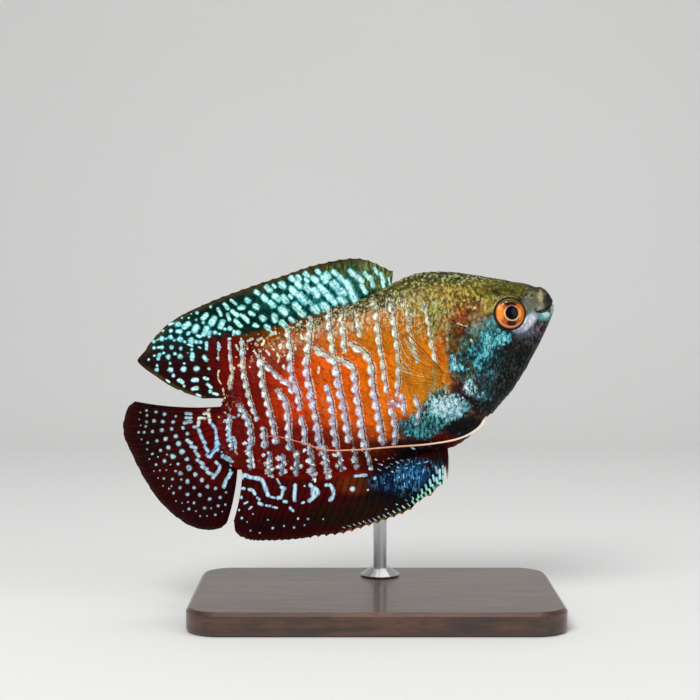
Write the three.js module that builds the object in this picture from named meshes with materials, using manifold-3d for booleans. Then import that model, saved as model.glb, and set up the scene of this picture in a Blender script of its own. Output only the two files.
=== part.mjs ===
// A dwarf gourami as a still, life-size model, held over a plain display stand by one rod.
// Millimetres, +Z up. The fish faces +X with its snout raised and its right side towards -Y.
// The origin is the middle of the stand's underside.

import * as THREE from "three";
import { mergeVertices } from "three/addons/utils/BufferGeometryUtils.js";
import Module from "manifold-3d";

const wasm = await Module();
wasm.setup();

// Driving dimensions
const STANDARD_LENGTH = 60; // snout tip to the base of the tail fin
const SNOUT_RAISED = THREE.MathUtils.degToRad(21.7);
const SNOUT_AHEAD = 30; // of the stand's middle
const SNOUT_HEIGHT = 52.9; // above the stand's underside
const GAP = 0.3; // between touching pieces
const ROOT_GAP = 0.33; // between the body and what grows from it, as both are faceted

const EYE_RADIUS = 2.7;
const EYE_RIM_RADIUS = 0.34;
const EYE_RIM_AWAY = 0.57; // from the eyeball's edge to the middle of the rim
const GILL_COVER_PROUD = 0.25;
const GILL_COVER_THICKNESS = 0.8;
const LIP_RADIUS = 0.42;
const NOSTRIL_RADIUS = 0.3;

const MEMBRANE = 0.5; // thickness of a fin between its rays
const RAY = 0.84; // thickness over a ray
const FIN_EDGE = 0.3; // thickness at the free edge
const RAY_TIP = 0.5; // thickness at a ray's tip
const RAY_FOOT = 0.2; // half a ray's width, as a share of the distance between rays
const FIN_ROOT = 1.2; // thickness where a fin leaves the body
const ROOT_LEVEL = 0.3; // how far up the fin the root's thickness reaches
const ROOT_SUNK = 0.9;
const NOTCH = 0.35; // depth of the edge between ray tips

const STAND_LENGTH = 62;
const STAND_DEPTH = 40;
const STAND_THICKNESS = 4;
const STAND_CORNER = 5;
const STAND_BEVEL = 0.6;
const ROD_DIAMETER = 2.4;
const ROD_BEHIND = 12; // of the fish's middle plane
const ROD_BEND = 5;
const FOOT_DIAMETER = 7;
const FOOT_TOP_DIAMETER = 3.6;
const FOOT_HEIGHT = 1.2;

const UP = new THREE.Vector3(0, 0, 1);
const AHEAD = new THREE.Vector3(1, 0, 0);
const QUARTER_TURN = Math.PI / 2;
const CIRCLE_HANDLE = 0.5523; // of a Bezier quarter circle
const BLOCK_DEPTH = 40; // of the blocks that part the body
const FAR = 30; // clear of the body, in percent of the standard length
const MERGE_DISTANCE = 1e-5;

// How finely round shapes are split
const BODY_STATIONS = 38;
const BODY_SIDES = 26;
const OUTLINE_STEPS = { gillOpening: 24, gillCover: 28, tailCut: 8 };
const EYE_SIDES = 18;
const EYE_RIM = { sides: 6, steps: 24 };
const LIP = { sides: 8, steps: 14 };
const NOSTRIL = { sides: 8, rings: 6 };
const FEELER = { sides: 6, steps: 30 };
const ROD = { sides: 12, bendSteps: 8, footSides: 24 };
const CORNER_STEPS = 6;

// Outlines are in percent of the standard length, as fish are measured:
// how far behind the snout tip, then how high above it along the fish's own axis.
const PERCENT = STANDARD_LENGTH / 100;
const BODY_END = 103;
const BACK = [
  [0, 0.6], [0.1, 2.4], [0.8, 4.7], [2.8, 6.1], [5, 8], [8.8, 10.2], [16.1, 14.6], [23.6, 18.8],
  [31.6, 21.7], [36.1, 22.1], [41, 21.7], [49, 20.9], [60, 20.7], [73.2, 20.4], [80.7, 19.2],
  [87.5, 16.8], [93, 13], [96.5, 9.2], [99, 6.8], [101.6, 3.6], [BODY_END, -2.2],
];
const BELLY = [
  [0, 0.6], [0.15, -1.2], [0.8, -2.6], [2.3, -4.3], [4.9, -6.9], [8.3, -10.1], [16.3, -16.4],
  [25.1, -21.7], [33.8, -25.9], [40.6, -27.6], [47.7, -26.6], [56.6, -25.6], [65, -23.9],
  [76.3, -21.6], [87.2, -18.2], [96.1, -13.9], [100, -11.4], [101.8, -8.4], [BODY_END, -2.2],
];
const HALF_WIDTH = [
  [0, 0], [0.2, 1.3], [0.7, 2.2], [1.6, 3], [3, 3.8], [5, 4.6], [8, 5.7], [12, 6.9], [17, 7.8],
  [23, 8.5], [30, 8.8], [38, 8.8], [46, 8.4], [56, 7.6], [66, 6.5], [76, 5.2], [86, 3.8],
  [93, 2.8], [98, 2], [101.5, 1.3], [BODY_END, 0],
];
const WIDEST_AT = [[0, 0.6], [6, 0.5], [12, 0], [20, -1], [45, -1], [80, -1.5], [BODY_END, -2.2]];
const BACK_SHARPNESS = [[0, 0.9], [10, 0.95], [25, 1.05], [60, 1.15], [BODY_END, 1.2]];
const BELLY_SHARPNESS = [[0, 0.9], [10, 1], [25, 1.1], [60, 1.25], [BODY_END, 1.2]];

// The gill opening, from over the nape to under the throat
const GILL_OPENING = [
  [25, 30], [26.2, 16], [28.6, 8], [30.4, 3], [32.6, -3], [34.2, -9], [33.8, -13], [31.4, -18],
  [28.2, -22.5], [26, -32],
];
const GILL_COVER = [
  [38, 4], [29.9, 4.2], [25.5, 4.6], [21.5, 2.2], [19.6, -2.5], [19.4, -7.5], [21.4, -12.6],
  [25, -16], [29.5, -17.4], [38, -17],
];
// The line of the mouth, then the rear edge of the lower jaw
const JAW_LINE = [[-4, -0.1], [0, -0.2], [2.2, -0.6], [3.9, -1.1], [5.7, -3.4], [6.3, -6], [6.6, -14]];
// Behind the snout, out from the middle plane, and up
const UPPER_LIP = [[3.5, 3.6, -0.1], [2, 3.2, 0.3], [0.9, 2.1, 0.6], [0.6, 0, 0.75]];
const LOWER_LIP = [[3.6, 3.6, -1.9], [2.2, 3.1, -1.7], [1.1, 1.9, -1.3], [0.8, 0, -1.15]];
const NOSTRILS = [[4.8, 4.3], [6.4, 5.2]];
const EYE = { along: 12.95, up: 2, sunk: 0.45, yaw: 0.22, tilt: 0.08 };
// From the back of the eyeball round its rim to the iris and the raised pupil, in eye radii
const EYE_PROFILE = [
  [0, -0.42], [0.62, -0.32], [0.93, -0.08], [1, 0.08], [0.9, 0.22], [0.5, 0.34], [0.44, 0.32],
  [0.38, 0.4], [0.2, 0.44], [0, 0.45],
];
const TAIL_CUT = [[88.4, 30], [87.6, 8], [88, -6], [89.4, -30]];

// Each guide is a ray's number, where its root is, and where its tip is.
const DORSAL_FIN = {
  rays: 24,
  guides: [
    [0, 40.5, 21.6, 38.5, 25.1], [3, 47.9, 20.8, 46.1, 32], [6, 54.4, 20.7, 57.5, 34.8],
    [9, 62.3, 20.6, 68.5, 35.5], [12, 69.6, 20.4, 80.8, 36.1], [15, 77.7, 19.8, 93, 36.1],
    [17, 83.1, 18.5, 103.2, 34.9], [18, 85.6, 17.6, 108.7, 32.5], [19, 88.2, 16.4, 112.8, 29.9],
    [20, 90.6, 14.9, 115.4, 27.9], [21, 92.8, 13.2, 112.2, 22.3], [22, 94.8, 11.2, 107.6, 16.2],
    [23, 96.6, 9.1, 101.9, 11.4],
  ],
  levels: [0, 0.14, 0.34, 0.56, 0.8, 1],
  bow: 0.03,
  wave: { height: 0.5, count: 1.6, start: 0.4 },
};
const ANAL_FIN = {
  rays: 31,
  guides: [
    [0, 42.8, -27.4, 46, -35.7], [1, 44.3, -27.3, 48.1, -36.7], [2, 45.9, -27, 52.2, -38.4],
    [3, 47.7, -26.6, 55.7, -38.8], [4, 49.8, -26.4, 58.9, -40], [6, 53.6, -25.9, 64.2, -40.2],
    [9, 59.7, -25, 71.6, -39.8], [12, 65.9, -23.7, 79.3, -39.2], [15, 72.1, -22.5, 86.3, -37.5],
    [18, 78.2, -21.1, 92.6, -35.9], [21, 84.2, -19.3, 98.3, -34.1], [24, 89.8, -17.1, 102.8, -32.3],
    [27, 95.1, -14.5, 105.7, -30.5], [28, 96.9, -13.5, 107, -29.1], [29, 98.4, -12.6, 107.6, -27.1],
    [30, 99.7, -11.8, 106.9, -24.3],
  ],
  levels: [0, 0.16, 0.42, 0.72, 1],
  bow: -0.05,
  wave: { height: 0.5, count: 1.4, start: 2 },
};
const TAIL_FIN = {
  rays: 15,
  guides: [
    [0, 97.6, 7.5, 120.4, 17.8], [1, 98.6, 6.6, 123.1, 16.9], [2, 99.4, 5.4, 126, 13.2],
    [3, 100, 4.1, 127.2, 9.4], [4, 100.7, 2.8, 127, 5.7], [6, 101.7, -0.4, 126.2, -2.3],
    [8, 102.2, -3.9, 124.1, -11.6], [10, 102, -7, 119.9, -20], [11, 101.7, -8.3, 117, -22.8],
    [12, 101.4, -9.5, 114, -24.5], [13, 101.1, -10.4, 111.2, -25], [14, 100.8, -11.2, 109.1, -24.3],
  ],
  levels: [0, 0.12, 0.32, 0.54, 0.77, 1],
  bow: -0.04,
  wave: { height: 0.9, count: 1.2, start: 0.8 },
};
const PECTORAL_FIN = {
  rays: 10,
  guides: [
    [0, 35.2, -9.5, 41.8, 8.5], [1, 35.3, -9.8, 44, 7.9], [2, 35.4, -10.1, 46, 6.2],
    [3, 35.5, -10.3, 47.6, 4.1], [4, 35.6, -10.5, 48.8, 1.8], [6, 35.8, -10.9, 49.8, -3.3],
    [8, 36.1, -11.4, 48.6, -8.2], [9, 36.3, -11.7, 46.2, -10.3],
  ],
  levels: [0, 0.2, 0.5, 0.78, 1],
  bow: 0.02,
  splay: 0.34, // outwards for each step back
  cupping: 0.9, // extra, at the tips
};

// Each feeler's route: behind the snout, up, and out from the middle plane
const RIGHT_FEELER = [
  [29.4, -22.8, 1.2], [31.4, -24.6, 2.4], [34.6, -25.4, 4], [39, -25.4, 5.3], [46.7, -23.8, 6.1],
  [57.5, -20.4, 6.6], [68.4, -17, 6.6], [74.9, -14.3, 6.5], [80.7, -9.7, 6.3], [85.4, -6.3, 6.1],
  [90.1, -4.1, 6.2],
];
const LEFT_FEELER = [
  [29.4, -22.8, 1.2], [31.4, -24.8, 2.5], [34.6, -25.9, 4.4], [39, -26.3, 6], [46.7, -25.4, 7.4],
  [57.5, -22.9, 8.4], [68.4, -20.3, 8.6], [75.4, -18.4, 8.6], [82, -15, 8.4], [87, -12.2, 8.2],
  [91.4, -11, 8.1],
];
const FEELER_RADIUS = { root: 0.42, length: 0.27, tip: 0.16 };
const FEELER_ROOT_WAY = 0.12;
// The rod meets the far flank here
const HELD_AT = { along: 54, up: -5 };

// A smooth curve through rows of numbers, read at a place given by the first of each row
function profile(rows) {
  const places = rows.map((row) => row[0]);
  const values = rows.flatMap((row) => row.slice(1));
  const curve = new THREE.CubicInterpolant(places, values, rows[0].length - 1);
  return (place) => Array.from(curve.evaluate(place));
}

const back = profile(BACK);
const belly = profile(BELLY);
const halfWidth = profile(HALF_WIDTH);
const widestAt = profile(WIDEST_AT);
const backSharpness = profile(BACK_SHARPNESS);
const bellySharpness = profile(BELLY_SHARPNESS);

// The fish's own frame: X forward from the snout tip, Y to its left, Z up
function fishPoint(along, up, out = 0) {
  return new THREE.Vector3(-along * PERCENT, out * PERCENT, up * PERCENT);
}

// Half the body's width at a place on its side, in percent
function flank(along, up) {
  const middle = widestAt(along)[0];
  const reach = up > middle ? back(along)[0] - middle : middle - belly(along)[0];
  const sharpness = up > middle ? backSharpness(along)[0] : bellySharpness(along)[0];
  const share = Math.min(1, Math.abs(up - middle) / reach);
  return halfWidth(along)[0] * Math.sqrt(1 - share * share) ** sharpness;
}

// A closed mesh as a solid, turned right side out
function solid(geometry) {
  geometry.deleteAttribute("normal");
  geometry.deleteAttribute("uv");
  const merged = mergeVertices(geometry, MERGE_DISTANCE);
  const vertProperties = new Float32Array(merged.attributes.position.array);
  const triVerts = new Uint32Array(merged.index.array);
  const made = new wasm.Manifold(new wasm.Mesh({ numProp: 3, vertProperties, triVerts }));
  if (made.volume() > 0) {
    return made;
  }
  triVerts.reverse();
  return new wasm.Manifold(new wasm.Mesh({ numProp: 3, vertProperties, triVerts }));
}

function mirrored(geometry) {
  return geometry.clone().scale(1, -1, 1);
}

function largest(pieces) {
  const closed = pieces.decompose();
  closed.sort((first, second) => second.volume() - first.volume());
  return closed[0];
}

// The whole fleshy body as one surface, grown outwards or shrunk by some millimetres
function bodyGeometry(growth) {
  const geometry = new THREE.SphereGeometry(1, BODY_SIDES, BODY_STATIONS);
  const position = geometry.attributes.position;
  for (let index = 0; index < position.count; index += 1) {
    const station = Math.floor(index / (BODY_SIDES + 1));
    const column = (index % (BODY_SIDES + 1)) % BODY_SIDES;
    const turn = (2 * Math.PI * column) / BODY_SIDES;
    const along = (BODY_END * (1 - Math.cos((Math.PI * station) / BODY_STATIONS))) / 2;
    const middle = widestAt(along)[0];
    const point = fishPoint(along, middle);
    if (station === 0) {
      point.x += growth;
    } else if (station === BODY_STATIONS) {
      point.x -= growth;
    } else {
      const upper = Math.cos(turn) < 0;
      const reach = upper ? back(along)[0] - middle : middle - belly(along)[0];
      const sharpness = upper ? backSharpness(along)[0] : bellySharpness(along)[0];
      const side = Math.sign(Math.sin(turn)) * Math.abs(Math.sin(turn)) ** sharpness;
      point.y = (halfWidth(along)[0] * PERCENT + growth) * side;
      point.z -= (reach * PERCENT + growth) * Math.cos(turn);
    }
    position.setXYZ(index, point.x, point.y, point.z);
  }
  return geometry;
}

// A closed sheet over a grid of places, its two faces split into triangles alike
function sheet(columns, rows, place) {
  const positions = [];
  const index = [];
  const at = (face, column, row) => (face * rows + row) * columns + column;
  const rim = (from, to) => {
    const [fromColumn, fromRow] = from;
    const [toColumn, toRow] = to;
    index.push(at(0, toColumn, toRow), at(0, fromColumn, fromRow), at(1, fromColumn, fromRow));
    index.push(at(0, toColumn, toRow), at(1, fromColumn, fromRow), at(1, toColumn, toRow));
  };
  for (const side of [1, -1]) {
    for (let row = 0; row < rows; row += 1) {
      for (let column = 0; column < columns; column += 1) {
        positions.push(...place(column, row, side).toArray());
      }
    }
  }
  for (let row = 1; row < rows; row += 1) {
    for (let column = 1; column < columns; column += 1) {
      const corners = [[column - 1, row - 1], [column, row - 1], [column, row], [column - 1, row]];
      const [a, b, c, d] = corners.map(([across, level]) => at(0, across, level));
      const [e, f, g, h] = corners.map(([across, level]) => at(1, across, level));
      index.push(a, b, c, a, c, d, e, g, f, e, h, g);
    }
    rim([0, row], [0, row - 1]);
    rim([columns - 1, row - 1], [columns - 1, row]);
  }
  for (let column = 1; column < columns; column += 1) {
    rim([column - 1, 0], [column, 0]);
    rim([column, rows - 1], [column - 1, rows - 1]);
  }
  const geometry = new THREE.BufferGeometry();
  geometry.setAttribute("position", new THREE.Float32BufferAttribute(positions, 3));
  geometry.setIndex(index);
  return geometry;
}

// A fin: its membrane with a ridge raised along each ray, on both faces. The root is sunk
// into the body, and outAt says how far out from the middle plane the fin lies.
function finGeometry(fin, outAt) {
  const guide = profile(fin.guides);
  const columns = [];
  for (let ray = 0; ray < fin.rays; ray += 1) {
    if (ray > 0) {
      columns.push({ ray: ray - RAY_FOOT, crest: false });
    }
    columns.push({ ray, crest: true });
    if (ray < fin.rays - 1) {
      columns.push({ ray: ray + RAY_FOOT, crest: false });
    }
  }
  const place = (column, row, side) => {
    const { ray, crest } = columns[column];
    const [rootAlong, rootUp, tipAlong, tipUp] = guide(ray);
    const level = fin.levels[row];
    const span = Math.hypot(tipAlong - rootAlong, tipUp - rootUp);
    const start = -ROOT_SUNK / (span * PERCENT);
    const end = crest ? 1 : 1 - NOTCH / (span * PERCENT);
    const way = start + (end - start) * level;
    const bow = fin.bow * 4 * level * (1 - level);
    const along = rootAlong + (tipAlong - rootAlong) * way - (tipUp - rootUp) * bow;
    const up = rootUp + (tipUp - rootUp) * way + (tipAlong - rootAlong) * bow;
    const point = fishPoint(along, up);
    const full = crest ? RAY : MEMBRANE;
    const edge = crest ? RAY_TIP : FIN_EDGE;
    const thickness = level < ROOT_LEVEL
      ? THREE.MathUtils.lerp(FIN_ROOT, full, level / ROOT_LEVEL)
      : THREE.MathUtils.lerp(full, edge, (level - ROOT_LEVEL) / (1 - ROOT_LEVEL));
    point.y = outAt(ray, level, span * PERCENT) + (side * thickness) / 2;
    return point;
  };
  return sheet(columns.length, fin.levels.length, place);
}

function middleFinGeometry(fin) {
  const { height, count, start } = fin.wave;
  const wave = (ray, level) => {
    return height * level * level * Math.sin((2 * Math.PI * count * ray) / fin.rays + start);
  };
  return finGeometry(fin, wave);
}

function leftPectoralGeometry() {
  const [rootAlong, rootUp] = PECTORAL_FIN.guides[0].slice(1);
  const rootOut = flank(rootAlong, rootUp) * PERCENT - ROOT_SUNK;
  const lean = (ray, level, span) => {
    return rootOut + PECTORAL_FIN.splay * span * level + PECTORAL_FIN.cupping * level * level;
  };
  return finGeometry(PECTORAL_FIN, lean);
}

// A closed round tube along a curve, with a ring at each of the ways given
function tube(curve, radiusAt, sides, ways, reference) {
  const steps = ways.length - 1;
  const geometry = new THREE.CylinderGeometry(1, 1, 1, sides, steps);
  const position = geometry.attributes.position;
  for (let index = 0; index < position.count; index += 1) {
    const way = ways[Math.round((position.getY(index) + 0.5) * steps)];
    const ahead = curve.getTangentAt(way);
    const first = new THREE.Vector3().crossVectors(ahead, reference).normalize();
    const second = new THREE.Vector3().crossVectors(first, ahead);
    const point = curve.getPointAt(way);
    point.addScaledVector(first, position.getX(index) * radiusAt(way));
    point.addScaledVector(second, position.getZ(index) * radiusAt(way));
    position.setXYZ(index, point.x, point.y, point.z);
  }
  return geometry;
}

function evenWays(steps) {
  return Array.from({ length: steps + 1 }, (_, step) => step / steps);
}

function feelerGeometry(route, side) {
  const points = route.map(([along, up, out]) => fishPoint(along, up, side * out));
  const { root, length, tip } = FEELER_RADIUS;
  const radiusAt = (way) => {
    const thinning = Math.min(1, way / FEELER_ROOT_WAY);
    return THREE.MathUtils.lerp(root, THREE.MathUtils.lerp(length, tip, way ** 3), thinning);
  };
  return tube(new THREE.CatmullRomCurve3(points), radiusAt, FEELER.sides, evenWays(FEELER.steps), UP);
}

// A lip goes round the snout from one corner of the mouth to the other.
function lipGeometry(route) {
  const left = route.map(([along, out, up]) => fishPoint(along, up, out));
  const right = route.slice(0, -1).map(([along, out, up]) => fishPoint(along, up, -out));
  const curve = new THREE.CatmullRomCurve3([...left, ...right.reverse()]);
  return tube(curve, () => LIP_RADIUS, LIP.sides, evenWays(LIP.steps), UP);
}

function smooth(points, count) {
  const curve = new THREE.SplineCurve(points.map((point) => new THREE.Vector2(...point)));
  return curve.getPoints(count).map((point) => point.toArray());
}

// A block with a side-view outline in percent, right through the fish
function block(outline) {
  const corners = outline.map(([along, up]) => new THREE.Vector2(-along * PERCENT, up * PERCENT));
  const settings = { depth: BLOCK_DEPTH, bevelEnabled: false, curveSegments: 1 };
  const geometry = new THREE.ExtrudeGeometry(new THREE.Shape(corners), settings);
  geometry.rotateX(QUARTER_TURN);
  geometry.translate(0, BLOCK_DEPTH / 2, 0);
  return solid(geometry);
}

function blockAhead(line) {
  return block([...line, [-FAR, line.at(-1)[1]], [-FAR, line[0][1]]]);
}

function blockBehind(line) {
  const moved = line.map(([along, up]) => [along + GAP / PERCENT, up]);
  return block([...moved, [BODY_END + FAR, line.at(-1)[1]], [BODY_END + FAR, line[0][1]]]);
}

// An outline with each point moved out from its middle by some millimetres
function spread(outline, distance) {
  const total = outline.reduce(([along, up], point) => [along + point[0], up + point[1]], [0, 0]);
  const centre = new THREE.Vector2(...total).divideScalar(outline.length);
  return outline.map((point) => {
    const corner = new THREE.Vector2(...point);
    const away = corner.clone().sub(centre).setLength(distance / PERCENT);
    return corner.add(away).toArray();
  });
}

// An eye looks out along +Y, then is turned to lie in the slope of the left cheek.
function setInCheek(geometry) {
  const out = flank(EYE.along, EYE.up) * PERCENT - EYE.sunk;
  geometry.rotateX(EYE.tilt);
  geometry.rotateZ(-EYE.yaw);
  geometry.translate(-EYE.along * PERCENT, out, EYE.up * PERCENT);
  return geometry;
}

function leftEyeGeometry(clearance) {
  const profilePoints = EYE_PROFILE.map(([radius, height]) => {
    return new THREE.Vector2(radius * EYE_RADIUS, height * EYE_RADIUS);
  });
  const geometry = new THREE.LatheGeometry(profilePoints, EYE_SIDES);
  const scale = (EYE_RADIUS + clearance) / EYE_RADIUS;
  geometry.scale(scale, scale + clearance / 2, scale);
  return setInCheek(geometry);
}

function leftEyeRimGeometry() {
  const radius = EYE_RADIUS + EYE_RIM_AWAY;
  const geometry = new THREE.TorusGeometry(radius, EYE_RIM_RADIUS, EYE_RIM.sides, EYE_RIM.steps);
  geometry.rotateX(QUARTER_TURN);
  return setInCheek(geometry);
}

function bothSides(geometry) {
  return solid(mirrored(geometry)).add(solid(geometry));
}

// Pieces of the fish, in its own frame
const body = solid(bodyGeometry(0));
const clearOfBody = solid(bodyGeometry(ROOT_GAP));
const ahead = blockAhead(smooth(GILL_OPENING, OUTLINE_STEPS.gillOpening));

function makeHead() {
  const nostrils = NOSTRILS.map(([along, up]) => {
    const place = fishPoint(along, up, flank(along, up));
    const hole = new THREE.SphereGeometry(NOSTRIL_RADIUS, NOSTRIL.sides, NOSTRIL.rings);
    return bothSides(hole.translate(...place.toArray()));
  });
  const recessDepth = GILL_COVER_PROUD - GILL_COVER_THICKNESS - GAP;
  const recessOutline = spread(smooth(GILL_COVER, OUTLINE_STEPS.gillCover), GAP);
  const recess = block(recessOutline).subtract(solid(bodyGeometry(recessDepth)));
  const jawSpace = JAW_LINE.map(([along, up]) => [along + GAP / PERCENT, up + GAP / PERCENT]);
  let head = body.intersect(ahead);
  head = head.add(bothSides(leftEyeRimGeometry())).add(solid(lipGeometry(UPPER_LIP)));
  head = head.subtract(block([...jawSpace, [-FAR, -FAR]])).subtract(recess);
  head = head.subtract(bothSides(leftEyeGeometry(GAP)));
  for (const nostril of nostrils) {
    head = head.subtract(nostril);
  }
  return largest(head);
}

function makeLowerJaw() {
  const jaw = body.add(solid(lipGeometry(LOWER_LIP)));
  return largest(jaw.intersect(block([...JAW_LINE, [-FAR, -FAR]])));
}

function makeGillCovers() {
  const outside = solid(bodyGeometry(GILL_COVER_PROUD));
  const inside = solid(bodyGeometry(GILL_COVER_PROUD - GILL_COVER_THICKNESS));
  const outline = block(smooth(GILL_COVER, OUTLINE_STEPS.gillCover));
  const covers = outside.subtract(inside).intersect(outline).intersect(ahead).decompose();
  const byPlace = (first, second) => first.boundingBox().max[1] - second.boundingBox().max[1];
  const [right, left] = covers.sort(byPlace);
  return { left, right };
}

function makeTrunk() {
  const behindHead = blockBehind(smooth(GILL_OPENING, OUTLINE_STEPS.gillOpening));
  const aheadOfTail = blockAhead(smooth(TAIL_CUT, OUTLINE_STEPS.tailCut));
  return largest(body.intersect(behindHead).intersect(aheadOfTail));
}

function makeTailStalk() {
  return largest(body.intersect(blockBehind(smooth(TAIL_CUT, OUTLINE_STEPS.tailCut))));
}

function makeFin(geometry) {
  return largest(solid(geometry).subtract(clearOfBody));
}

// The fish, raised over its stand
const fish = new THREE.Group();
fish.rotation.y = -SNOUT_RAISED;
fish.position.set(SNOUT_AHEAD, 0, SNOUT_HEIGHT);
fish.updateMatrixWorld(true);

function makeStandBase() {
  const halfLength = STAND_LENGTH / 2 - STAND_BEVEL;
  const halfDepth = STAND_DEPTH / 2 - STAND_BEVEL;
  const shape = new THREE.Shape();
  [[1, 1], [-1, 1], [-1, -1], [1, -1]].forEach(([lengthways, sideways], corner) => {
    const x = lengthways * (halfLength - STAND_CORNER);
    const y = sideways * (halfDepth - STAND_CORNER);
    shape.absarc(x, y, STAND_CORNER, corner * QUARTER_TURN, (corner + 1) * QUARTER_TURN);
  });
  const geometry = new THREE.ExtrudeGeometry(shape, {
    depth: STAND_THICKNESS - 2 * STAND_BEVEL,
    bevelThickness: STAND_BEVEL,
    bevelSize: STAND_BEVEL,
    bevelSegments: 1,
    curveSegments: CORNER_STEPS,
  });
  geometry.translate(0, 0, STAND_BEVEL);
  return solid(geometry);
}

// A rod stands behind the fish and bends forward into its far flank.
function makeStandRod() {
  const flankPoint = fishPoint(HELD_AT.along, HELD_AT.up, flank(HELD_AT.along, HELD_AT.up));
  const held = fish.localToWorld(flankPoint);
  const foot = STAND_THICKNESS + GAP;
  const bendStart = new THREE.Vector3(held.x, ROD_BEHIND, held.z - ROD_BEND);
  const bendEnd = new THREE.Vector3(held.x, ROD_BEHIND - ROD_BEND, held.z);
  const corner = new THREE.Vector3(held.x, ROD_BEHIND, held.z);
  const path = new THREE.CurvePath();
  path.add(new THREE.LineCurve3(new THREE.Vector3(held.x, ROD_BEHIND, foot), bendStart));
  path.add(new THREE.CubicBezierCurve3(
    bendStart,
    bendStart.clone().lerp(corner, CIRCLE_HANDLE),
    bendEnd.clone().lerp(corner, CIRCLE_HANDLE),
    bendEnd,
  ));
  path.add(new THREE.LineCurve3(bendEnd, new THREE.Vector3(held.x, held.y - ROD_DIAMETER, held.z)));
  const [upright, bend, whole] = path.getCurveLengths();
  const bendWays = evenWays(ROD.bendSteps).map((way) => (upright + (bend - upright) * way) / whole);
  const rod = solid(tube(path, () => ROD_DIAMETER / 2, ROD.sides, [0, ...bendWays, 1], AHEAD));
  const topRadius = FOOT_TOP_DIAMETER / 2;
  const flange = new THREE.CylinderGeometry(topRadius, FOOT_DIAMETER / 2, FOOT_HEIGHT, ROD.footSides);
  flange.rotateX(QUARTER_TURN);
  flange.translate(held.x, ROD_BEHIND, foot + FOOT_HEIGHT / 2);
  const bodyInPlace = solid(bodyGeometry(GAP).applyMatrix4(fish.matrixWorld));
  return largest(rod.add(solid(flange)).subtract(bodyInPlace));
}

function addMesh(group, name, made, color, roughness, metalness = 0) {
  const { vertProperties, triVerts } = made.getMesh();
  const geometry = new THREE.BufferGeometry();
  geometry.setAttribute("position", new THREE.BufferAttribute(vertProperties, 3));
  geometry.setIndex(new THREE.BufferAttribute(triVerts, 1));
  geometry.computeVertexNormals();
  const material = new THREE.MeshStandardMaterial({ color, roughness, metalness });
  const mesh = new THREE.Mesh(geometry, material);
  mesh.name = name;
  group.add(mesh);
}

const gillCovers = makeGillCovers();
addMesh(fish, "head", makeHead(), 0x8a7c3e, 0.45);
addMesh(fish, "lower_jaw", makeLowerJaw(), 0x3a3d42, 0.45);
addMesh(fish, "gill_cover_left", gillCovers.left, 0x4fb7b4, 0.35);
addMesh(fish, "gill_cover_right", gillCovers.right, 0x4fb7b4, 0.35);
addMesh(fish, "eye_left", solid(leftEyeGeometry(0)), 0xd9731a, 0.12);
addMesh(fish, "eye_right", solid(mirrored(leftEyeGeometry(0))), 0xd9731a, 0.12);
addMesh(fish, "trunk", makeTrunk(), 0xc2480f, 0.4);
addMesh(fish, "tail_stalk", makeTailStalk(), 0x8c1408, 0.4);
addMesh(fish, "dorsal_fin", makeFin(middleFinGeometry(DORSAL_FIN)), 0x3f9e93, 0.35);
addMesh(fish, "anal_fin", makeFin(middleFinGeometry(ANAL_FIN)), 0x2a1a2c, 0.35);
addMesh(fish, "tail_fin", makeFin(middleFinGeometry(TAIL_FIN)), 0x40060a, 0.35);
addMesh(fish, "pectoral_fin_left", makeFin(leftPectoralGeometry()), 0xd9b58a, 0.3);
addMesh(fish, "pectoral_fin_right", makeFin(mirrored(leftPectoralGeometry())), 0xd9b58a, 0.3);
addMesh(fish, "pelvic_feeler_left", makeFin(feelerGeometry(LEFT_FEELER, 1)), 0xe08a4a, 0.4);
addMesh(fish, "pelvic_feeler_right", makeFin(feelerGeometry(RIGHT_FEELER, -1)), 0xe08a4a, 0.4);

const model = new THREE.Group();
addMesh(model, "stand_base", makeStandBase(), 0x2b1a10, 0.5);
addMesh(model, "stand_rod", makeStandRod(), 0xb8bcc0, 0.3, 1);
model.add(fish);

export default model;
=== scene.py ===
import math

import bpy
import numpy as np
from mathutils import Matrix, Vector

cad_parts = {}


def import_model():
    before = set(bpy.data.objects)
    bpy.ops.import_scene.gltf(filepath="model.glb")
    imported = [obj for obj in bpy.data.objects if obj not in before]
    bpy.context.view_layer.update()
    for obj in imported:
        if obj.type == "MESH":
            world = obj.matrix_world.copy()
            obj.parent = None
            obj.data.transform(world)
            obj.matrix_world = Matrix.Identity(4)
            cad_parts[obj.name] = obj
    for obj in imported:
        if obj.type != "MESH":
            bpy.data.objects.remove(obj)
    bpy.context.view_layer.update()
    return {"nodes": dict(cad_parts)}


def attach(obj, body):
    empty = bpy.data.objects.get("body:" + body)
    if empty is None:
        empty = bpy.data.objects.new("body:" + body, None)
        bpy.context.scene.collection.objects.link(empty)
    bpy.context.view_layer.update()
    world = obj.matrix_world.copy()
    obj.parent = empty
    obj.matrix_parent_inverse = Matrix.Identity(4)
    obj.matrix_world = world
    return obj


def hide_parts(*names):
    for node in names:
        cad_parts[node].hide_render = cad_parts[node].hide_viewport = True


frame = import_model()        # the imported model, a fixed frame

scene = bpy.context.scene
mm = 0.001
print("frame loaded:", len(frame["nodes"]), "nodes")

# The camera. The fish's markings are laid out in pixels of its frame, so it comes first.
view = {
    "lens": 85.0,
    "sensor": 36.0,
    "distance": 0.281,
    "above": 3.0,                          # degrees over the level
    "lookAt": (-0.00434, 0.0, 0.04491),
    "pixels": 700,
}

# How the fish hangs in the frame, as in the solids
fish = {"length": 0.060, "raised": 21.7, "ahead": 0.030, "height": 0.0529}
percent = fish["length"] / 100


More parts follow.
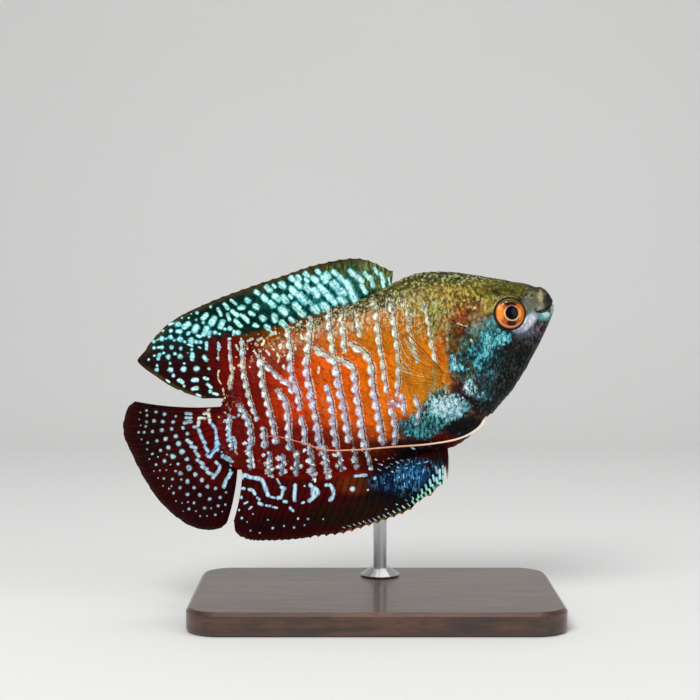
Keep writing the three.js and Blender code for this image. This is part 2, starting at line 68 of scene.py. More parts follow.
# Places on the fish are in percent of its length: behind the snout, above it, out from the middle
def world(along, up, out):
    turn = math.radians(fish["raised"])
    x, z = -np.asarray(along) * percent, np.asarray(up) * percent
    ahead = fish["ahead"] + x * math.cos(turn) - z * math.sin(turn)
    high = fish["height"] + x * math.sin(turn) + z * math.cos(turn)
    return np.stack(np.broadcast_arrays(ahead, np.asarray(out) * percent, high), axis=-1)


# Where the camera's frame shows points of the right side; the left side reads as its mirror image
def seen(points):
    tilt = math.radians(view["above"])
    offset = np.array(points, float).reshape(-1, 3) - np.array(view["lookAt"])
    near = -np.abs(offset[:, 1])
    deep = view["distance"] + near * math.cos(tilt) - offset[:, 2] * math.sin(tilt)
    high = near * math.sin(tilt) + offset[:, 2] * math.cos(tilt)
    half = view["pixels"] / 2
    scale = half * view["lens"] * 2 / view["sensor"] / deep
    return half + offset[:, 0] * scale, half - high * scale


# A smooth curve through rows of numbers, read at the first of each row
def curveThrough(rows):
    rows = np.array(rows, float)
    places, values = rows[:, 0], rows[:, 1:]
    last = len(places) - 1

    def read(at):
        shape = np.shape(at)
        at = np.clip(np.ravel(at).astype(float), places[0], places[-1])
        after = np.clip(np.searchsorted(places, at, side="right"), 1, last)
        start, end = places[after - 1], places[after]
        early, late = after == 1, after == last
        before = np.where(early, after, after - 2)
        beyond = np.where(late, after - 1, np.minimum(after + 1, last))
        half = (end - start) / 2
        weightBefore = (half / (start - np.where(early, end, places[before])))[:, None]
        weightBeyond = (half / (np.where(late, start, places[beyond]) - end))[:, None]
        p = ((at - start) / (end - start))[:, None]
        result = values[before] * (-weightBefore * p**3 + 2 * weightBefore * p**2 - weightBefore * p)
        result += values[after - 1] * (
            (1 + weightBefore) * p**3 + (-1.5 - 2 * weightBefore) * p**2 + (-0.5 + weightBefore) * p + 1
        )
        result += values[after] * ((-1 - weightBeyond) * p**3 + (1.5 + weightBeyond) * p**2 + 0.5 * p)
        result += values[beyond] * (weightBeyond * p**3 - weightBeyond * p**2)
        return result[:, 0].reshape(shape) if values.shape[1] == 1 else result.reshape(*shape, -1)

    return read


def smoothStep(value, low, high):
    share = np.clip((np.asarray(value, float) - low) / (high - low), 0, 1)
    return share * share * (3 - 2 * share)


def smoothFall(value, low, high):
    return 1 - smoothStep(value, low, high)


def bell(distance, width):
    return np.exp(-((distance / width) ** 2))


# A line of a few points made smooth
def smoothPath(corners, count=40):
    corners = np.array(corners, float)
    way = np.concatenate([[0], np.cumsum(np.linalg.norm(np.diff(corners, axis=0), axis=1))])
    rows = np.column_stack([way, corners])
    return curveThrough(rows)(np.linspace(0, way[-1], count))


# How far places are from one straight stretch of a line
def fromStretch(x, y, start, end):
    step = end - start
    aside, down = x - start[0], y - start[1]
    part = np.clip((aside * step[0] + down * step[1]) / max(step @ step, 1e-9), 0, 1)
    return np.hypot(aside - part * step[0], down - part * step[1])


# A repeatable number from 0 to 1 for a pair of counts
def scatter(first, second, seed=0.0):
    return np.mod(np.abs(np.sin(first * 12.9898 + second * 78.233 + seed * 37.719)) * 43758.5453, 1.0)


# Colours are written as on a screen, and worked with as light
def tint(code):
    parts = np.array([int(code[k:k + 2], 16) for k in (1, 3, 5)]) / 255
    return np.where(parts <= 0.04045, parts / 12.92, ((parts + 0.055) / 1.055) ** 2.4)


def rgba(code):
    return (*tint(code), 1.0)


# Making pieces

def clearSelection():
    bpy.ops.object.select_all(action="DESELECT")


def pick(piece):
    clearSelection()
    piece.select_set(True)
    bpy.context.view_layer.objects.active = piece


def useModifier(piece, kind, **settings):
    pick(piece)
    modifier = piece.modifiers.new(kind.lower(), kind)
    for key, value in settings.items():
        setattr(modifier, key, value)
    bpy.ops.object.modifier_apply(modifier=modifier.name)


# A flat grid is laid onto a surface: places has rows and columns of points
def layGrid(name, places):
    rows, columns = places.shape[:2]
    clearSelection()
    bpy.ops.mesh.primitive_grid_add(x_subdivisions=columns - 1, y_subdivisions=rows - 1, size=2)
    piece = bpy.context.object
    piece.name = piece.data.name = name
    flat = np.zeros(len(piece.data.vertices) * 3)
    piece.data.vertices.foreach_get("co", flat)
    flat = flat.reshape(-1, 3)
    column = np.rint((flat[:, 0] + 1) / 2 * (columns - 1)).astype(int)
    row = np.rint((flat[:, 1] + 1) / 2 * (rows - 1)).astype(int)
    piece.data.vertices.foreach_set("co", places[row, column].ravel())
    piece.data.uv_layers[0].name = "OFBake"
    piece.data.update()
    return piece, row, column


# Joins the seams and the poles, and turns the faces out
def closeShell(piece, distance=0.000002):
    pick(piece)
    bpy.ops.object.mode_set(mode="EDIT")
    bpy.ops.mesh.select_all(action="SELECT")
    bpy.ops.mesh.remove_doubles(threshold=distance)
    bpy.ops.mesh.normals_make_consistent(inside=False)
    bpy.ops.object.mode_set(mode="OBJECT")


def smoothFaces(piece, angle=40):
    pick(piece)
    bpy.ops.object.shade_smooth_by_angle(angle=math.radians(angle))


def setNumber(piece, name, values):
    layer = piece.data.attributes.new(name, "FLOAT", "POINT")
    layer.data.foreach_set("value", np.asarray(values, np.float32).ravel())


def setPaint(piece, name, colours):
    layer = piece.data.attributes.new(name, "FLOAT_COLOR", "POINT")
    filled = np.ones((len(colours), 4), np.float32)
    filled[:, :3] = colours
    layer.data.foreach_set("color", filled.ravel())


def points(piece):
    found = np.zeros(len(piece.data.vertices) * 3)
    piece.data.vertices.foreach_get("co", found)
    return found.reshape(-1, 3)


def finishPiece(piece, material, slot, *nodes):
    piece.data.materials.clear()
    piece.data.materials.append(material)
    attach(piece, "root")
    if nodes:
        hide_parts(*nodes)
    print("made", piece.name, len(piece.data.polygons), "faces")


# The body's form, by the same curves as the solids
body = {
    "end": 103, "deepest": 42.7,
    "back": [
        [0, 0.6], [0.1, 2.4], [0.8, 4.7], [2.8, 6.1], [5, 8], [8.8, 10.2], [16.1, 14.6], [23.6, 18.8],
        [31.6, 21.7], [36.1, 22.1], [41, 21.7], [49, 20.9], [60, 20.7], [73.2, 20.4], [80.7, 19.2],
        [87.5, 16.8], [93, 13], [96.5, 9.2], [99, 6.8], [101.6, 3.6], [103, -2.2],
    ],
    "belly": [
        [0, 0.6], [0.15, -1.2], [0.8, -2.6], [2.3, -4.3], [4.9, -6.9], [8.3, -10.1], [16.3, -16.4],
        [25.1, -21.7], [33.8, -25.9], [40.6, -27.6], [47.7, -26.6], [56.6, -25.6], [65, -23.9],
        [76.3, -21.6], [87.2, -18.2], [96.1, -13.9], [100, -11.4], [101.8, -8.4], [103, -2.2],
    ],
    "halfWidth": [
        [0, 0], [0.2, 1.3], [0.7, 2.2], [1.6, 3], [3, 3.8], [5, 4.6], [8, 5.7], [12, 6.9], [17, 7.8],
        [23, 8.5], [30, 8.8], [38, 8.8], [46, 8.4], [56, 7.6], [66, 6.5], [76, 5.2], [86, 3.8],
        [93, 2.8], [98, 2], [101.5, 1.3], [103, 0],
    ],
    "widestAt": [[0, 0.6], [6, 0.5], [12, 0], [20, -1], [45, -1], [80, -1.5], [103, -2.2]],
    "backSharpness": [[0, 0.9], [10, 0.95], [25, 1.05], [60, 1.15], [103, 1.2]],
    "bellySharpness": [[0, 0.9], [10, 1], [25, 1.1], [60, 1.25], [103, 1.2]],
}
back = curveThrough(body["back"])
belly = curveThrough(body["belly"])
halfWidth = curveThrough(body["halfWidth"])
widestAt = curveThrough(body["widestAt"])
backSharpness = curveThrough(body["backSharpness"])
bellySharpness = curveThrough(body["bellySharpness"])


# The widest line at a place, the way from it to the back or the belly, and how sharp that half is
def bodyHalf(along, upper):
    middle = widestAt(along)
    reach = np.where(upper, back(along) - middle, middle - belly(along))
    return middle, reach, np.where(upper, backSharpness(along), bellySharpness(along))


# Turn is 90 degrees on the back, 0 where the right side is widest and -90 under the belly
def bodyPlace(along, turn):
    middle, reach, sharpness = bodyHalf(along, np.sin(turn) > 0)
    side = np.cos(turn)
    out = -halfWidth(along) * np.sign(side) * np.abs(side) ** sharpness
    return world(along, middle + reach * np.sin(turn), out)


# Places on the body and the directions out of it
def bodySurface(along, turn, apart=0.15, turned=0.01, least=1e-13):
    along, turn = np.broadcast_arrays(along, turn)
    lengthways = bodyPlace(np.minimum(along + apart, body["end"]), turn)
    lengthways = lengthways - bodyPlace(np.maximum(along - apart, 0), turn)
    around = bodyPlace(along, turn + turned) - bodyPlace(along, turn - turned)
    normal = np.cross(lengthways, around)
    size = np.linalg.norm(normal, axis=-1, keepdims=True)
    # the snout's point and the last point face straight ahead and straight back
    forward = world(-1, 0, 0) - world(0, 0, 0)
    ends = np.where((along < body["end"] / 2)[..., None], forward, -forward) / np.linalg.norm(forward)
    normal = np.where(size > least, normal / np.maximum(size, least), ends)
    place = bodyPlace(along, turn)
    middle = world(along, widestAt(along), 0)
    inward = np.sum(normal * (place - middle), axis=-1, keepdims=True) < 0
    return place, np.where(inward, -normal, normal)


def heightAt(along, turn):
    middle, reach, _ = bodyHalf(along, np.sin(turn) > 0)
    return middle + reach * np.sin(turn)


# Half the body's width at a place on its side
def flank(along, up):
    middle, reach, sharpness = bodyHalf(along, up > widestAt(along))
    share = np.minimum(1, np.abs(up - middle) / reach)
    return halfWidth(along) * np.sqrt(1 - share**2) ** sharpness


# How deep the body is, as a share of its greatest depth
def depthShare(along):
    return np.clip((back(along) - belly(along)) / body["deepest"], 0.3, 1.2)


# The way round the body in metres from the widest line, up and down, for laying out scales
arcStations = np.linspace(0.4, 102.6, 256)
arcShares = np.linspace(0, 1, 49)
quarterTurns = np.linspace(0, math.pi / 2, 91)


def arcTable(sign):
    lengths, turns, ways = [], [], []
    for along in arcStations:
        ring = bodyPlace(np.full(quarterTurns.shape, along), sign * quarterTurns)
        way = np.concatenate([[0], np.cumsum(np.linalg.norm(np.diff(ring, axis=0), axis=1))])
        lengths.append(way[-1])
        turns.append(np.interp(arcShares * way[-1], way, quarterTurns))
        ways.append(way)
    return np.array(lengths), np.array(turns), np.array(ways)


upperArc, lowerArc = arcTable(1), arcTable(-1)


def halfArc(along, upper):
    return np.interp(along, arcStations, upperArc[0] if upper else lowerArc[0])


# The station before a place, and how far on from it the place is
def stationAt(along):
    apart = arcStations[1] - arcStations[0]
    station = np.clip((along - arcStations[0]) / apart, 0, len(arcStations) - 1.001)
    low = station.astype(int)
    return low, station - low


# What a table says between its rows and its columns
def readBetween(table, low, part, column):
    step = np.minimum(column.astype(int), table.shape[1] - 2)
    inner = column - step
    first = table[low, step] * (1 - inner) + table[low, step + 1] * inner
    second = table[low + 1, step] * (1 - inner) + table[low + 1, step + 1] * inner
    return first * (1 - part) + second * part


def turnAt(along, arc):
    turn = np.zeros(np.shape(arc))
    low, part = stationAt(along)
    for sign, (lengths, turns, _) in ((1, upperArc), (-1, lowerArc)):
        share = np.abs(arc) / (lengths[low] * (1 - part) + lengths[low + 1] * part)
        over = share > 1
        share = np.clip(np.where(over, 2 - share, share), 0, 1)
        found = readBetween(turns, low, part, share * (len(arcShares) - 1))
        found = sign * np.where(over, math.pi - found, found)
        turn = np.where(np.sign(arc) == sign, found, turn)
    return turn


# The way round at a turn, the other way about
def arcAt(along, turn):
    side = np.arcsin(np.clip(np.sin(turn), -1, 1))
    low, part = stationAt(along)
    share = np.abs(side) / (math.pi / 2) * (len(quarterTurns) - 1)
    arc = np.zeros(np.shape(side))
    for sign, (_, _, ways) in ((1, upperArc), (-1, lowerArc)):
        arc = np.where(np.sign(side) == sign, sign * readBetween(ways, low, part, share), arc)
    return arc


print("body curves ready")

# Markings, in pixels of the frame: x, y, half width, half height, colour, strength
groundTint = "#6e0a01"
ground = [
    (505, 335, 80, 100, "#1a1b18", 1.0), (300, 375, 110, 95, "#a01201", 0.9),
    (330, 390, 75, 75, "#cc3c03", 0.9), (362, 385, 55, 70, "#e25e06", 0.95),
    (400, 375, 45, 62, "#ea7407", 0.95), (425, 372, 34, 50, "#ee8a10", 0.9),
    # the pale orange at 424, 368 is painted light under the pectoral fin, lifting the shadow that the fin
    # casts
    (432, 398, 18, 22, "#e09014", 0.9), (424, 368, 14, 14, "#ff9a20", 0.8),
    (335, 336, 75, 22, "#b86004", 0.85), (395, 325, 52, 28, "#c87409", 0.8),
    (235, 395, 40, 60, "#6a0801", 0.9), (262, 352, 40, 22, "#8c1602", 0.8),
    (277, 364, 14, 12, "#7c2a04", 0.6), (222, 402, 14, 16, "#480501", 0.8),
    (285, 450, 110, 30, "#680401", 0.9), (345, 458, 60, 16, "#741003", 0.7),
    (238, 345, 30, 16, "#5c0a01", 0.9), (290, 343, 30, 13, "#b04c04", 0.85),
    (255, 331, 32, 8, "#553407", 0.8), (295, 320, 34, 11, "#4e2c04", 0.9),
    (335, 307, 34, 12, "#453614", 0.9), (375, 297, 34, 14, "#46401a", 0.9),
    (410, 288, 34, 14, "#4d4a1c", 0.9), (452, 285, 58, 22, "#60561a", 0.9),
    (448, 302, 42, 16, "#b8963a", 0.85), (420, 305, 22, 14, "#a38734", 0.8),
    (482, 292, 24, 12, "#8e7d2a", 0.85), (506, 290, 26, 9, "#565312", 0.9),
    (455, 273, 72, 8, "#2c3616", 0.85), (486, 306, 12, 8, "#cbae48", 0.8),
    (438, 325, 12, 22, "#8c8a3a", 0.7), (470, 304, 12, 8, "#8a6a34", 0.7),
    (466, 308, 20, 14, "#7a4a09", 0.85), (461, 316, 13, 8, "#944005", 0.95),
    (472, 316, 9, 7, "#5c2c06", 0.9), (446, 320, 9, 6, "#a05609", 0.8), (478, 317, 10, 6, "#a48440", 0.8),
    (480, 322, 9, 6, "#a08464", 0.8), (441, 348, 7, 20, "#c05603", 0.9), (449, 338, 5, 22, "#7e6a3c", 0.85),
    (458, 332, 7, 9, "#5e2e07", 0.9), (463, 330, 3, 5, "#6e1c06", 0.9), (464, 343, 6, 7, "#5e6c34", 0.85),
    (456, 350, 8, 7, "#5c3c16", 0.85), (461, 357, 5, 8, "#281a0e", 0.85),
    (487, 350, 26, 34, "#12333e", 0.92), (503, 342, 18, 10, "#1d4a58", 0.7),
    (468, 366, 20, 16, "#13262c", 0.92), (480, 330, 13, 7, "#86a08c", 0.75),
    (492, 322, 6, 7, "#7ea494", 0.8), (480, 356, 5, 10, "#12405f", 0.8), (493, 364, 5, 6, "#0a1524", 0.9),
    (522, 365, 30, 42, "#030405", 0.97), (500, 396, 38, 26, "#070a0c", 0.97),
    (505, 358, 12, 14, "#0c1012", 0.85), (538, 332, 16, 22, "#180f12", 0.97),
    (538, 328, 7, 7, "#361418", 0.8), (514, 346, 10, 8, "#241014", 0.7), (531, 303, 9, 13, "#6d7160", 0.95),
    (540, 296, 12, 9, "#6b6546", 0.95), (541, 289, 14, 4, "#2a2816", 0.9),
    (536, 299, 2.2, 8, "#55543f", 0.7), (540.5, 297, 2.6, 7, "#a69c7a", 0.85),
    (545.5, 301, 2.5, 8, "#3a3020", 0.9), (540, 307, 5.2, 5, "#7f7866", 0.9),
    (540, 308, 2.4, 2.2, "#a39b8e", 0.7), (550, 296, 5, 9, "#1e1a14", 0.95),
    (549, 308, 4, 6, "#3c3a34", 0.9), (552.5, 311, 1.9, 7, "#a7b3b1", 0.9),
    (549, 320, 4, 5, "#3e5654", 0.8), (543.5, 316, 7.5, 5, "#6fb0ae", 0.8),
    (546, 314.5, 4, 3, "#b4e0da", 0.85), (546, 313.5, 2.8, 1.6, "#d8f2ee", 0.8),
    (526, 326, 12, 10, "#5c5a68", 0.8), (522, 333, 12, 6, "#4a5664", 0.7),
    (458, 391, 10, 13, "#35101a", 0.97), (465, 401, 12, 5, "#2c0a18", 0.9),
    (482, 388, 16, 12, "#1a2a30", 0.8), (443, 414, 28, 18, "#173238", 0.95),
    (405, 424, 9, 11, "#a8480a", 0.9), (413, 428, 7, 7, "#7a4a12", 0.8), (415, 430, 24, 12, "#1c2c28", 0.9),
    (470, 428, 34, 12, "#0a0c0e", 0.97), (412, 446, 44, 8, "#140807", 0.95),
    (420, 457, 44, 9, "#060609", 0.97), (372, 452, 24, 12, "#501203", 0.85),
    (395, 468, 34, 8, "#0a0a10", 0.9), (394, 403, 7, 6, "#a98f9c", 0.6), (533, 316, 5, 4, "#aeb6c6", 0.8),
    (530, 319.5, 6, 4.5, "#dfe5f2", 0.9), (527, 323, 6, 4.5, "#f2f6ff", 0.95),
    (523, 327, 6, 4, "#dfe5f2", 0.9), (518.5, 330, 6, 3.4, "#a8b4c8", 0.8),
]
# Turquoise, broken up by its own grain: x, y, half width, half height, amount
turquoise = [
    (488, 341, 9, 15, 1.0), (487, 352, 7, 9, 1.0), (502, 339, 11, 7, 0.95), (478, 364, 5, 9, 0.9),
    (472, 352, 5, 6, 0.9), (492, 326, 6, 8, 0.6), (476, 330, 8, 4, 0.5), (446, 407, 22, 14, 1.5),
    (430, 419, 22, 11, 1.0), (420, 427, 24, 12, 0.85), (470, 387, 8, 10, 0.85), (492, 374, 7, 6, 0.75),
    (484, 394, 10, 8, 0.5), (508, 334, 9, 4, 0.6), (464, 343, 5, 7, 0.35), (476, 375, 14, 5, 0.5),
    (446, 393, 5, 8, 0.7), (500, 360, 14, 12, 0.2), (440, 396, 13, 9, 0.85), (486, 383, 12, 8, 0.35),
    (486, 352, 20, 30, 0.36), (462, 366, 14, 16, 0.4), (505, 332, 12, 7, 0.8), (488, 345, 4.5, 15, 1.5),
    (503, 338, 8, 5, 1.5), (452.5, 363, 3.5, 11, 1.5), (459, 368, 6, 4, 1.45), (483, 356, 6, 5, 1.25),
    (492, 373, 5, 4, 1.1), (468, 388, 5, 6, 1.4), (478, 362, 4, 8, 1.15), (497, 318, 6, 9, 0.5),
    (484, 330, 12, 9, 0.5),
]
# The colours of the turquoise where it is lit
shineTints = [
    (440, 412, 34, 22, "#8cd8d8", 0.95), (446, 404, 18, 11, "#c8f0fc", 0.95),
    (457, 411, 9, 8, "#b0e6fa", 0.9), (428, 426, 22, 9, "#4ea6a8", 0.9), (441, 393, 9, 7, "#a6e8cc", 0.85),
    (496, 340, 14, 12, "#6fd4dc", 0.8), (452, 362, 8, 12, "#8fdde6", 0.8),
    (472, 388, 10, 12, "#c4ecee", 0.8), (510, 380, 30, 30, "#55787c", 0.9),
]
# Small pale cells in a dark net on the back, the nape and the head, and the colours of their middles
cellTints = [
    (455, 300, 30, 14, "#c9c46c", 0.9), (490, 306, 12, 8, "#e2d470", 0.8),
    (330, 318, 90, 18, "#b8c09a", 0.8), (510, 360, 40, 60, "#435c5e", 0.95),
    (465, 318, 22, 10, "#b4622a", 0.9), (475, 306, 9, 6, "#cfa78c", 0.8),
    (535, 300, 16, 14, "#8f9078", 0.9), (505, 289, 34, 9, "#6e6a2c", 0.9),
    (462, 342, 14, 14, "#95944c", 0.8), (500, 395, 40, 20, "#4e6466", 0.9),
    (440, 312, 22, 12, "#d2cf80", 0.7), (456, 335, 10, 16, "#9a6e3c", 0.8),
    (480, 322, 11, 8, "#c4ae88", 0.85), (530, 330, 16, 14, "#9298a6", 0.95),
    (460, 393, 14, 14, "#5c1c28", 0.9),
]
cells = [
    (455, 285, 85, 26, 0.95), (400, 298, 70, 18, 0.9), (320, 318, 80, 16, 0.8), (505, 292, 34, 16, 0.65),
    (440, 318, 50, 26, 0.7), (478, 330, 40, 30, 0.45), (500, 385, 60, 30, 0.62), (270, 338, 46, 12, 0.6),
    (452, 340, 12, 22, 0.7), (365, 312, 50, 12, 0.8), (532, 328, 18, 14, 0.55), (526, 344, 14, 12, 0.4),
]
# Pale streaks along the back, and cream flecks on the rear of the body
streaks = [
    (325, 322, 62, 14, 0.9), (272, 341, 34, 9, 0.55), (385, 310, 52, 16, 0.8), (432, 314, 24, 20, 0.55),
]
flecks = [
    (262, 346, 40, 16, 0.75), (226, 362, 10, 20, 0.3), (300, 336, 46, 12, 0.6), (222, 404, 12, 14, 0.3),
]
# Marks are rows of a half width, then the corners x, y of a line, or the one middle of a dot. A
# stripe's line runs down its middle, and its rear edge is beaded where the rows of scales run.
# Neighbours stand in different sets, so that distances across each set change smoothly.
stripes = {
    "first": [
        [2.8, 242, 344, 243, 372, 246, 388, 250, 402, 256, 418],
        [3.4, 259, 359, 261, 372, 262, 384, 265, 396, 268, 408, 272, 422, 275, 440],
        [3.5, 288, 334, 290, 356, 290, 370, 293, 382, 297, 394, 299, 406],
        [3.8, 279, 393, 285, 402, 287, 414, 288, 428, 289, 446],
        [4.3, 310, 322, 308, 344, 306, 360, 307, 376, 310, 392, 313, 408, 316, 424, 319, 444],
        [3.2, 328, 312, 329, 326, 331, 342, 333, 356, 335, 366],
        [3.6, 327, 389, 330, 400, 332, 414, 333, 428, 336, 446],
        [4.2, 353, 346, 361, 351, 368, 358, 371, 368, 372, 384, 375, 400, 378, 416, 382, 440],
        [3.1, 389, 302, 392, 312, 394, 328, 396, 344, 398, 360, 398, 376, 397, 392],
        [2.6, 415, 398, 419, 412, 416, 422], [2.8, 249, 446, 250, 466], [2.8, 296, 454, 296, 472],
        [2.4, 339, 454, 341, 468],
    ],
    "second": [
        [3.6, 240, 408, 247, 420, 250, 432, 251, 441],
        [3.0, 261, 362, 270, 370, 278, 378, 287, 384, 291, 390], [3.4, 301, 419, 304, 431, 304, 440],
        [4.2, 318, 351, 325, 356, 333, 361, 336, 372, 338, 386, 341, 398, 344, 412, 348, 438],
        [3.6, 341, 318, 343, 334, 344, 349],
        [3.1, 373, 304, 376, 314, 377, 330, 379, 346, 382, 362, 384, 378, 386, 390],
        [2.7, 404, 306, 407, 314, 409, 330, 413, 346, 417, 360],
        [2.7, 424, 306, 426, 314, 429, 328, 431, 344, 435, 360],
        [3.2, 391, 412, 394, 422, 395, 432, 394, 441], [2.8, 269, 455, 269.5, 473],
        [3.0, 309, 447, 313, 477], [2.6, 354, 451, 356, 466],
    ],
    "third": [
        [4.2, 342, 361, 350, 365, 354, 374, 355, 388, 357, 402, 360, 418, 361, 432, 365, 447],
        [3.6, 263, 432, 264, 444], [3.0, 402, 398, 404, 412], [2.6, 357, 318, 359, 334],
        [1.8, 229, 343, 230, 360, 232, 376, 230, 388], [3.0, 229, 418, 228, 430, 231, 446],
        [2.8, 282, 457, 281.5, 472], [3.0, 324, 449, 328, 476], [2.4, 366, 450, 370, 467],
    ],
}
# The stripes' own colours
stripeTints = [
    (300, 400, 160, 60, "#b6b9d0", 1.0), (420, 330, 120, 55, "#c6d0b2", 1.0),
    (310, 335, 90, 30, "#c2ccb4", 0.9), (250, 385, 30, 30, "#aeb4a0", 0.8),
    (393, 404, 16, 12, "#cdd0ee", 0.9), (290, 462, 90, 20, "#7fa6c0", 1.0),
    (289, 463, 12, 12, "#5fa4d2", 0.9), (235, 440, 30, 40, "#9fbfd6", 0.9),
]
# Strokes that cross the scales, with their colour
strokes = {
    "#f2fafa": [
        [2.05, 244.5, 443.5], [2.15, 247, 452], [1.95, 248, 460.5], [1.0, 252.5, 454, 254, 468],
        [2.05, 263.5, 455], [2.35, 266, 463.5], [2.25, 266.5, 471], [1.75, 271.5, 461], [1.85, 272, 469],
        [1.75, 272, 476], [2.35, 278.5, 458], [2.25, 278, 466.5], [1.95, 285, 463], [2.05, 285, 471.5],
        [2.05, 297, 454], [1.95, 292, 468], [2.05, 301, 466], [1.85, 304.5, 450.5], [2.35, 308, 461.5],
        [2.35, 309, 471], [1.65, 309, 447], [1.75, 312.5, 456], [1.85, 314, 465], [1.85, 315.5, 473],
        [1.65, 315, 480], [2.15, 320.5, 453.5], [2.35, 323, 463], [2.25, 325, 471], [1.65, 325, 449],
        [1.85, 328, 460], [1.95, 330.5, 470], [1.65, 330, 476], [2.05, 335, 455], [2.15, 337, 465.5],
        [1.75, 342, 459], [1.75, 344.5, 468], [1.95, 352, 450], [2.05, 353.5, 460], [1.85, 357, 466],
        [1.85, 363, 449], [1.85, 369, 460], [1.75, 371, 468], [0.7, 375, 459, 378, 460.2],
        [0.7, 379, 463.4, 382, 464.8],
    ],
    "#8fd6dc": [
        [0.9, 487.4, 336, 486.8, 341], [0.8, 488, 347, 487.4, 354], [0.9, 483, 355.5, 486, 357.5],
        [0.9, 501, 337.5, 504, 338.6], [0.8, 467, 368.5, 469, 368.9], [1.1, 483, 392, 482, 396],
    ],
    "#eef4f6": [
        [1.4, 465, 386, 468, 390], [1.1, 463, 397.5], [1.4, 445, 396], [1.2, 452, 402], [1.2, 437, 405],
    ],
    "#c8b98e": [
        [0.6, 457, 323, 462, 325, 467, 326], [1.2, 471, 340, 472, 341], [1.3, 450, 306], [1.4, 485, 307],
        [1.0, 447, 328, 447.5, 350], [1.4, 468, 307], [1.5, 475, 308], [1.3, 482, 302],
    ],
    "#e3e8f6": [[1.5, 391.5, 401.5], [1.7, 396, 404.5, 399.5, 406], [1.2, 399.5, 399.5], [1.2, 388, 405]],
    "#b0a85e": [
        [1.5, 433, 370, 434.5, 378], [1.6, 434.5, 382, 433, 391], [1.2, 437, 362, 436.6, 366],
        [1.1, 429, 385],
    ],
    "#4a4334": [
        [0.5, 540, 303, 543.3, 304.5, 544.3, 307.5, 543, 310.5, 540, 311.6, 537, 310.5, 535.8, 307.5],
    ],
    "#17130d": [[0.8, 535.5, 309, 537, 311.5, 541, 312.3, 546, 311.5], [0.9, 450, 376, 455, 380.5]],
    "#a8d2e4": [
        [1.5, 225, 421], [1.6, 231, 420], [1.5, 234, 417], [1.5, 239, 415], [1.3, 243, 418],
        [1.4, 230, 427], [1.7, 229, 430, 230, 440], [1.9, 227.5, 440, 230, 440], [1.4, 234, 438, 236, 448],
        [1.7, 226, 457, 229, 459, 232, 461], [1.7, 231, 473, 229, 476, 226, 480, 224, 487], [1.2, 231, 465],
        [1.0, 230, 470], [1.6, 219, 344, 218.5, 349], [1.6, 229.5, 339], [1.7, 242, 352.5],
        [0.6, 378, 469, 381, 470.4], [0.6, 390, 463.4, 392.6, 464.2], [0.7, 396, 461.6, 398.4, 463],
        [0.6, 405, 464.6, 407.6, 464.4], [0.6, 397.4, 467, 399.4, 467.8], [0.6, 385.4, 467, 387, 468],
        [0.6, 391, 471, 393, 471.8], [0.7, 400.6, 460, 402.6, 460.4], [0.8, 416, 458], [0.7, 412, 462],
        [0.6, 387, 458.6, 389.4, 458.2], [0.9, 411, 447, 414, 448.5], [0.6, 383, 461, 384.4, 461.8],
        [0.6, 393, 457.4, 394.6, 458.2], [0.6, 388.6, 466.2, 390, 466.4], [0.6, 408, 459.6, 409.2, 460.4],
    ],
    "#a9bfae": [
        [1.7, 270, 335, 275, 332.5], [1.3, 258, 340, 262, 338], [1.2, 248, 341, 252, 339],
        [1.0, 241, 339, 241.5, 349], [0.9, 218, 342, 218, 347], [0.8, 218, 352, 218.4, 356],
        [0.9, 229.4, 343, 229.6, 349], [1.3, 255.5, 344], [1.0, 236, 345, 238, 350],
        [1.2, 286, 329, 290, 327], [1.2, 297, 325, 301, 322],
    ],
    "#e4dfc4": [
        [1.4, 260.5, 351], [1.2, 266.5, 351, 269.5, 355], [1.5, 280, 344, 280, 348],
        [1.2, 277.5, 354, 279, 359, 278, 362], [1.3, 264, 341, 262, 345], [1.1, 283, 365, 284.5, 369],
        [1.2, 318.5, 367, 318.5, 372], [1.0, 251.4, 358.6], [1.0, 250.2, 367], [1.1, 236, 357],
        [1.0, 272, 347, 274, 350], [1.1, 254, 351, 256, 354], [1.0, 295, 345, 296, 350],
        [1.1, 301, 335, 302.5, 340], [1.0, 284, 352, 285, 356], [1.1, 247.5, 349],
    ],
    "#c9b48c": [
        [1.2, 225, 398], [1.4, 220, 403.5], [1.3, 219, 417.5], [1.3, 225, 413], [1.4, 230, 409.5],
        [1.4, 237, 406], [1.3, 209, 410], [0.9, 235, 451, 237, 454], [1.1, 222, 452], [1.0, 232, 371.5],
        [0.9, 218, 357, 218.5, 360], [0.8, 219, 370, 218, 378, 221, 384], [0.8, 229.5, 352, 229.5, 358],
        [1.1, 231, 374, 228, 384], [1.3, 239, 365], [1.0, 242, 360, 244, 369], [1.3, 231, 366, 234, 368],
        [1.0, 223, 389, 224, 394], [1.0, 271, 331, 276, 334], [1.6, 280, 346], [1.5, 264, 359],
    ],
}

far = 30.0          # no mark reaches places this far from it
stripeHalf = 4.2    # places across a stripe are given as on a stripe of this half width, in pixels
# The scales' rows, as the frame shows them: they count up in this direction from a place in row 0
frameRows = {"from": (400, 380), "towards": (3.09, 7.77), "size": 88.1}


def blobShare(place, x, y, wide, high):
    reach = np.sqrt(((place[0] - x) / wide) ** 2 + ((place[1] - y) / high) ** 2)
    return smoothFall(reach, 0.55, 1.3)


def layTints(place, first, blobs):
    colours = np.broadcast_to(tint(first), (len(place[0]), 3)).copy()
    for x, y, wide, high, code, strength in blobs:
        share = strength * blobShare(place, x, y, wide, high)[:, None]
        colours += (tint(code) - colours) * share
    return colours


def layAmounts(place, blobs):
    amount = np.zeros(len(place[0]))
    for x, y, wide, high, most in blobs:
        amount = np.maximum(amount, most * blobShare(place, x, y, wide, high))
    return amount


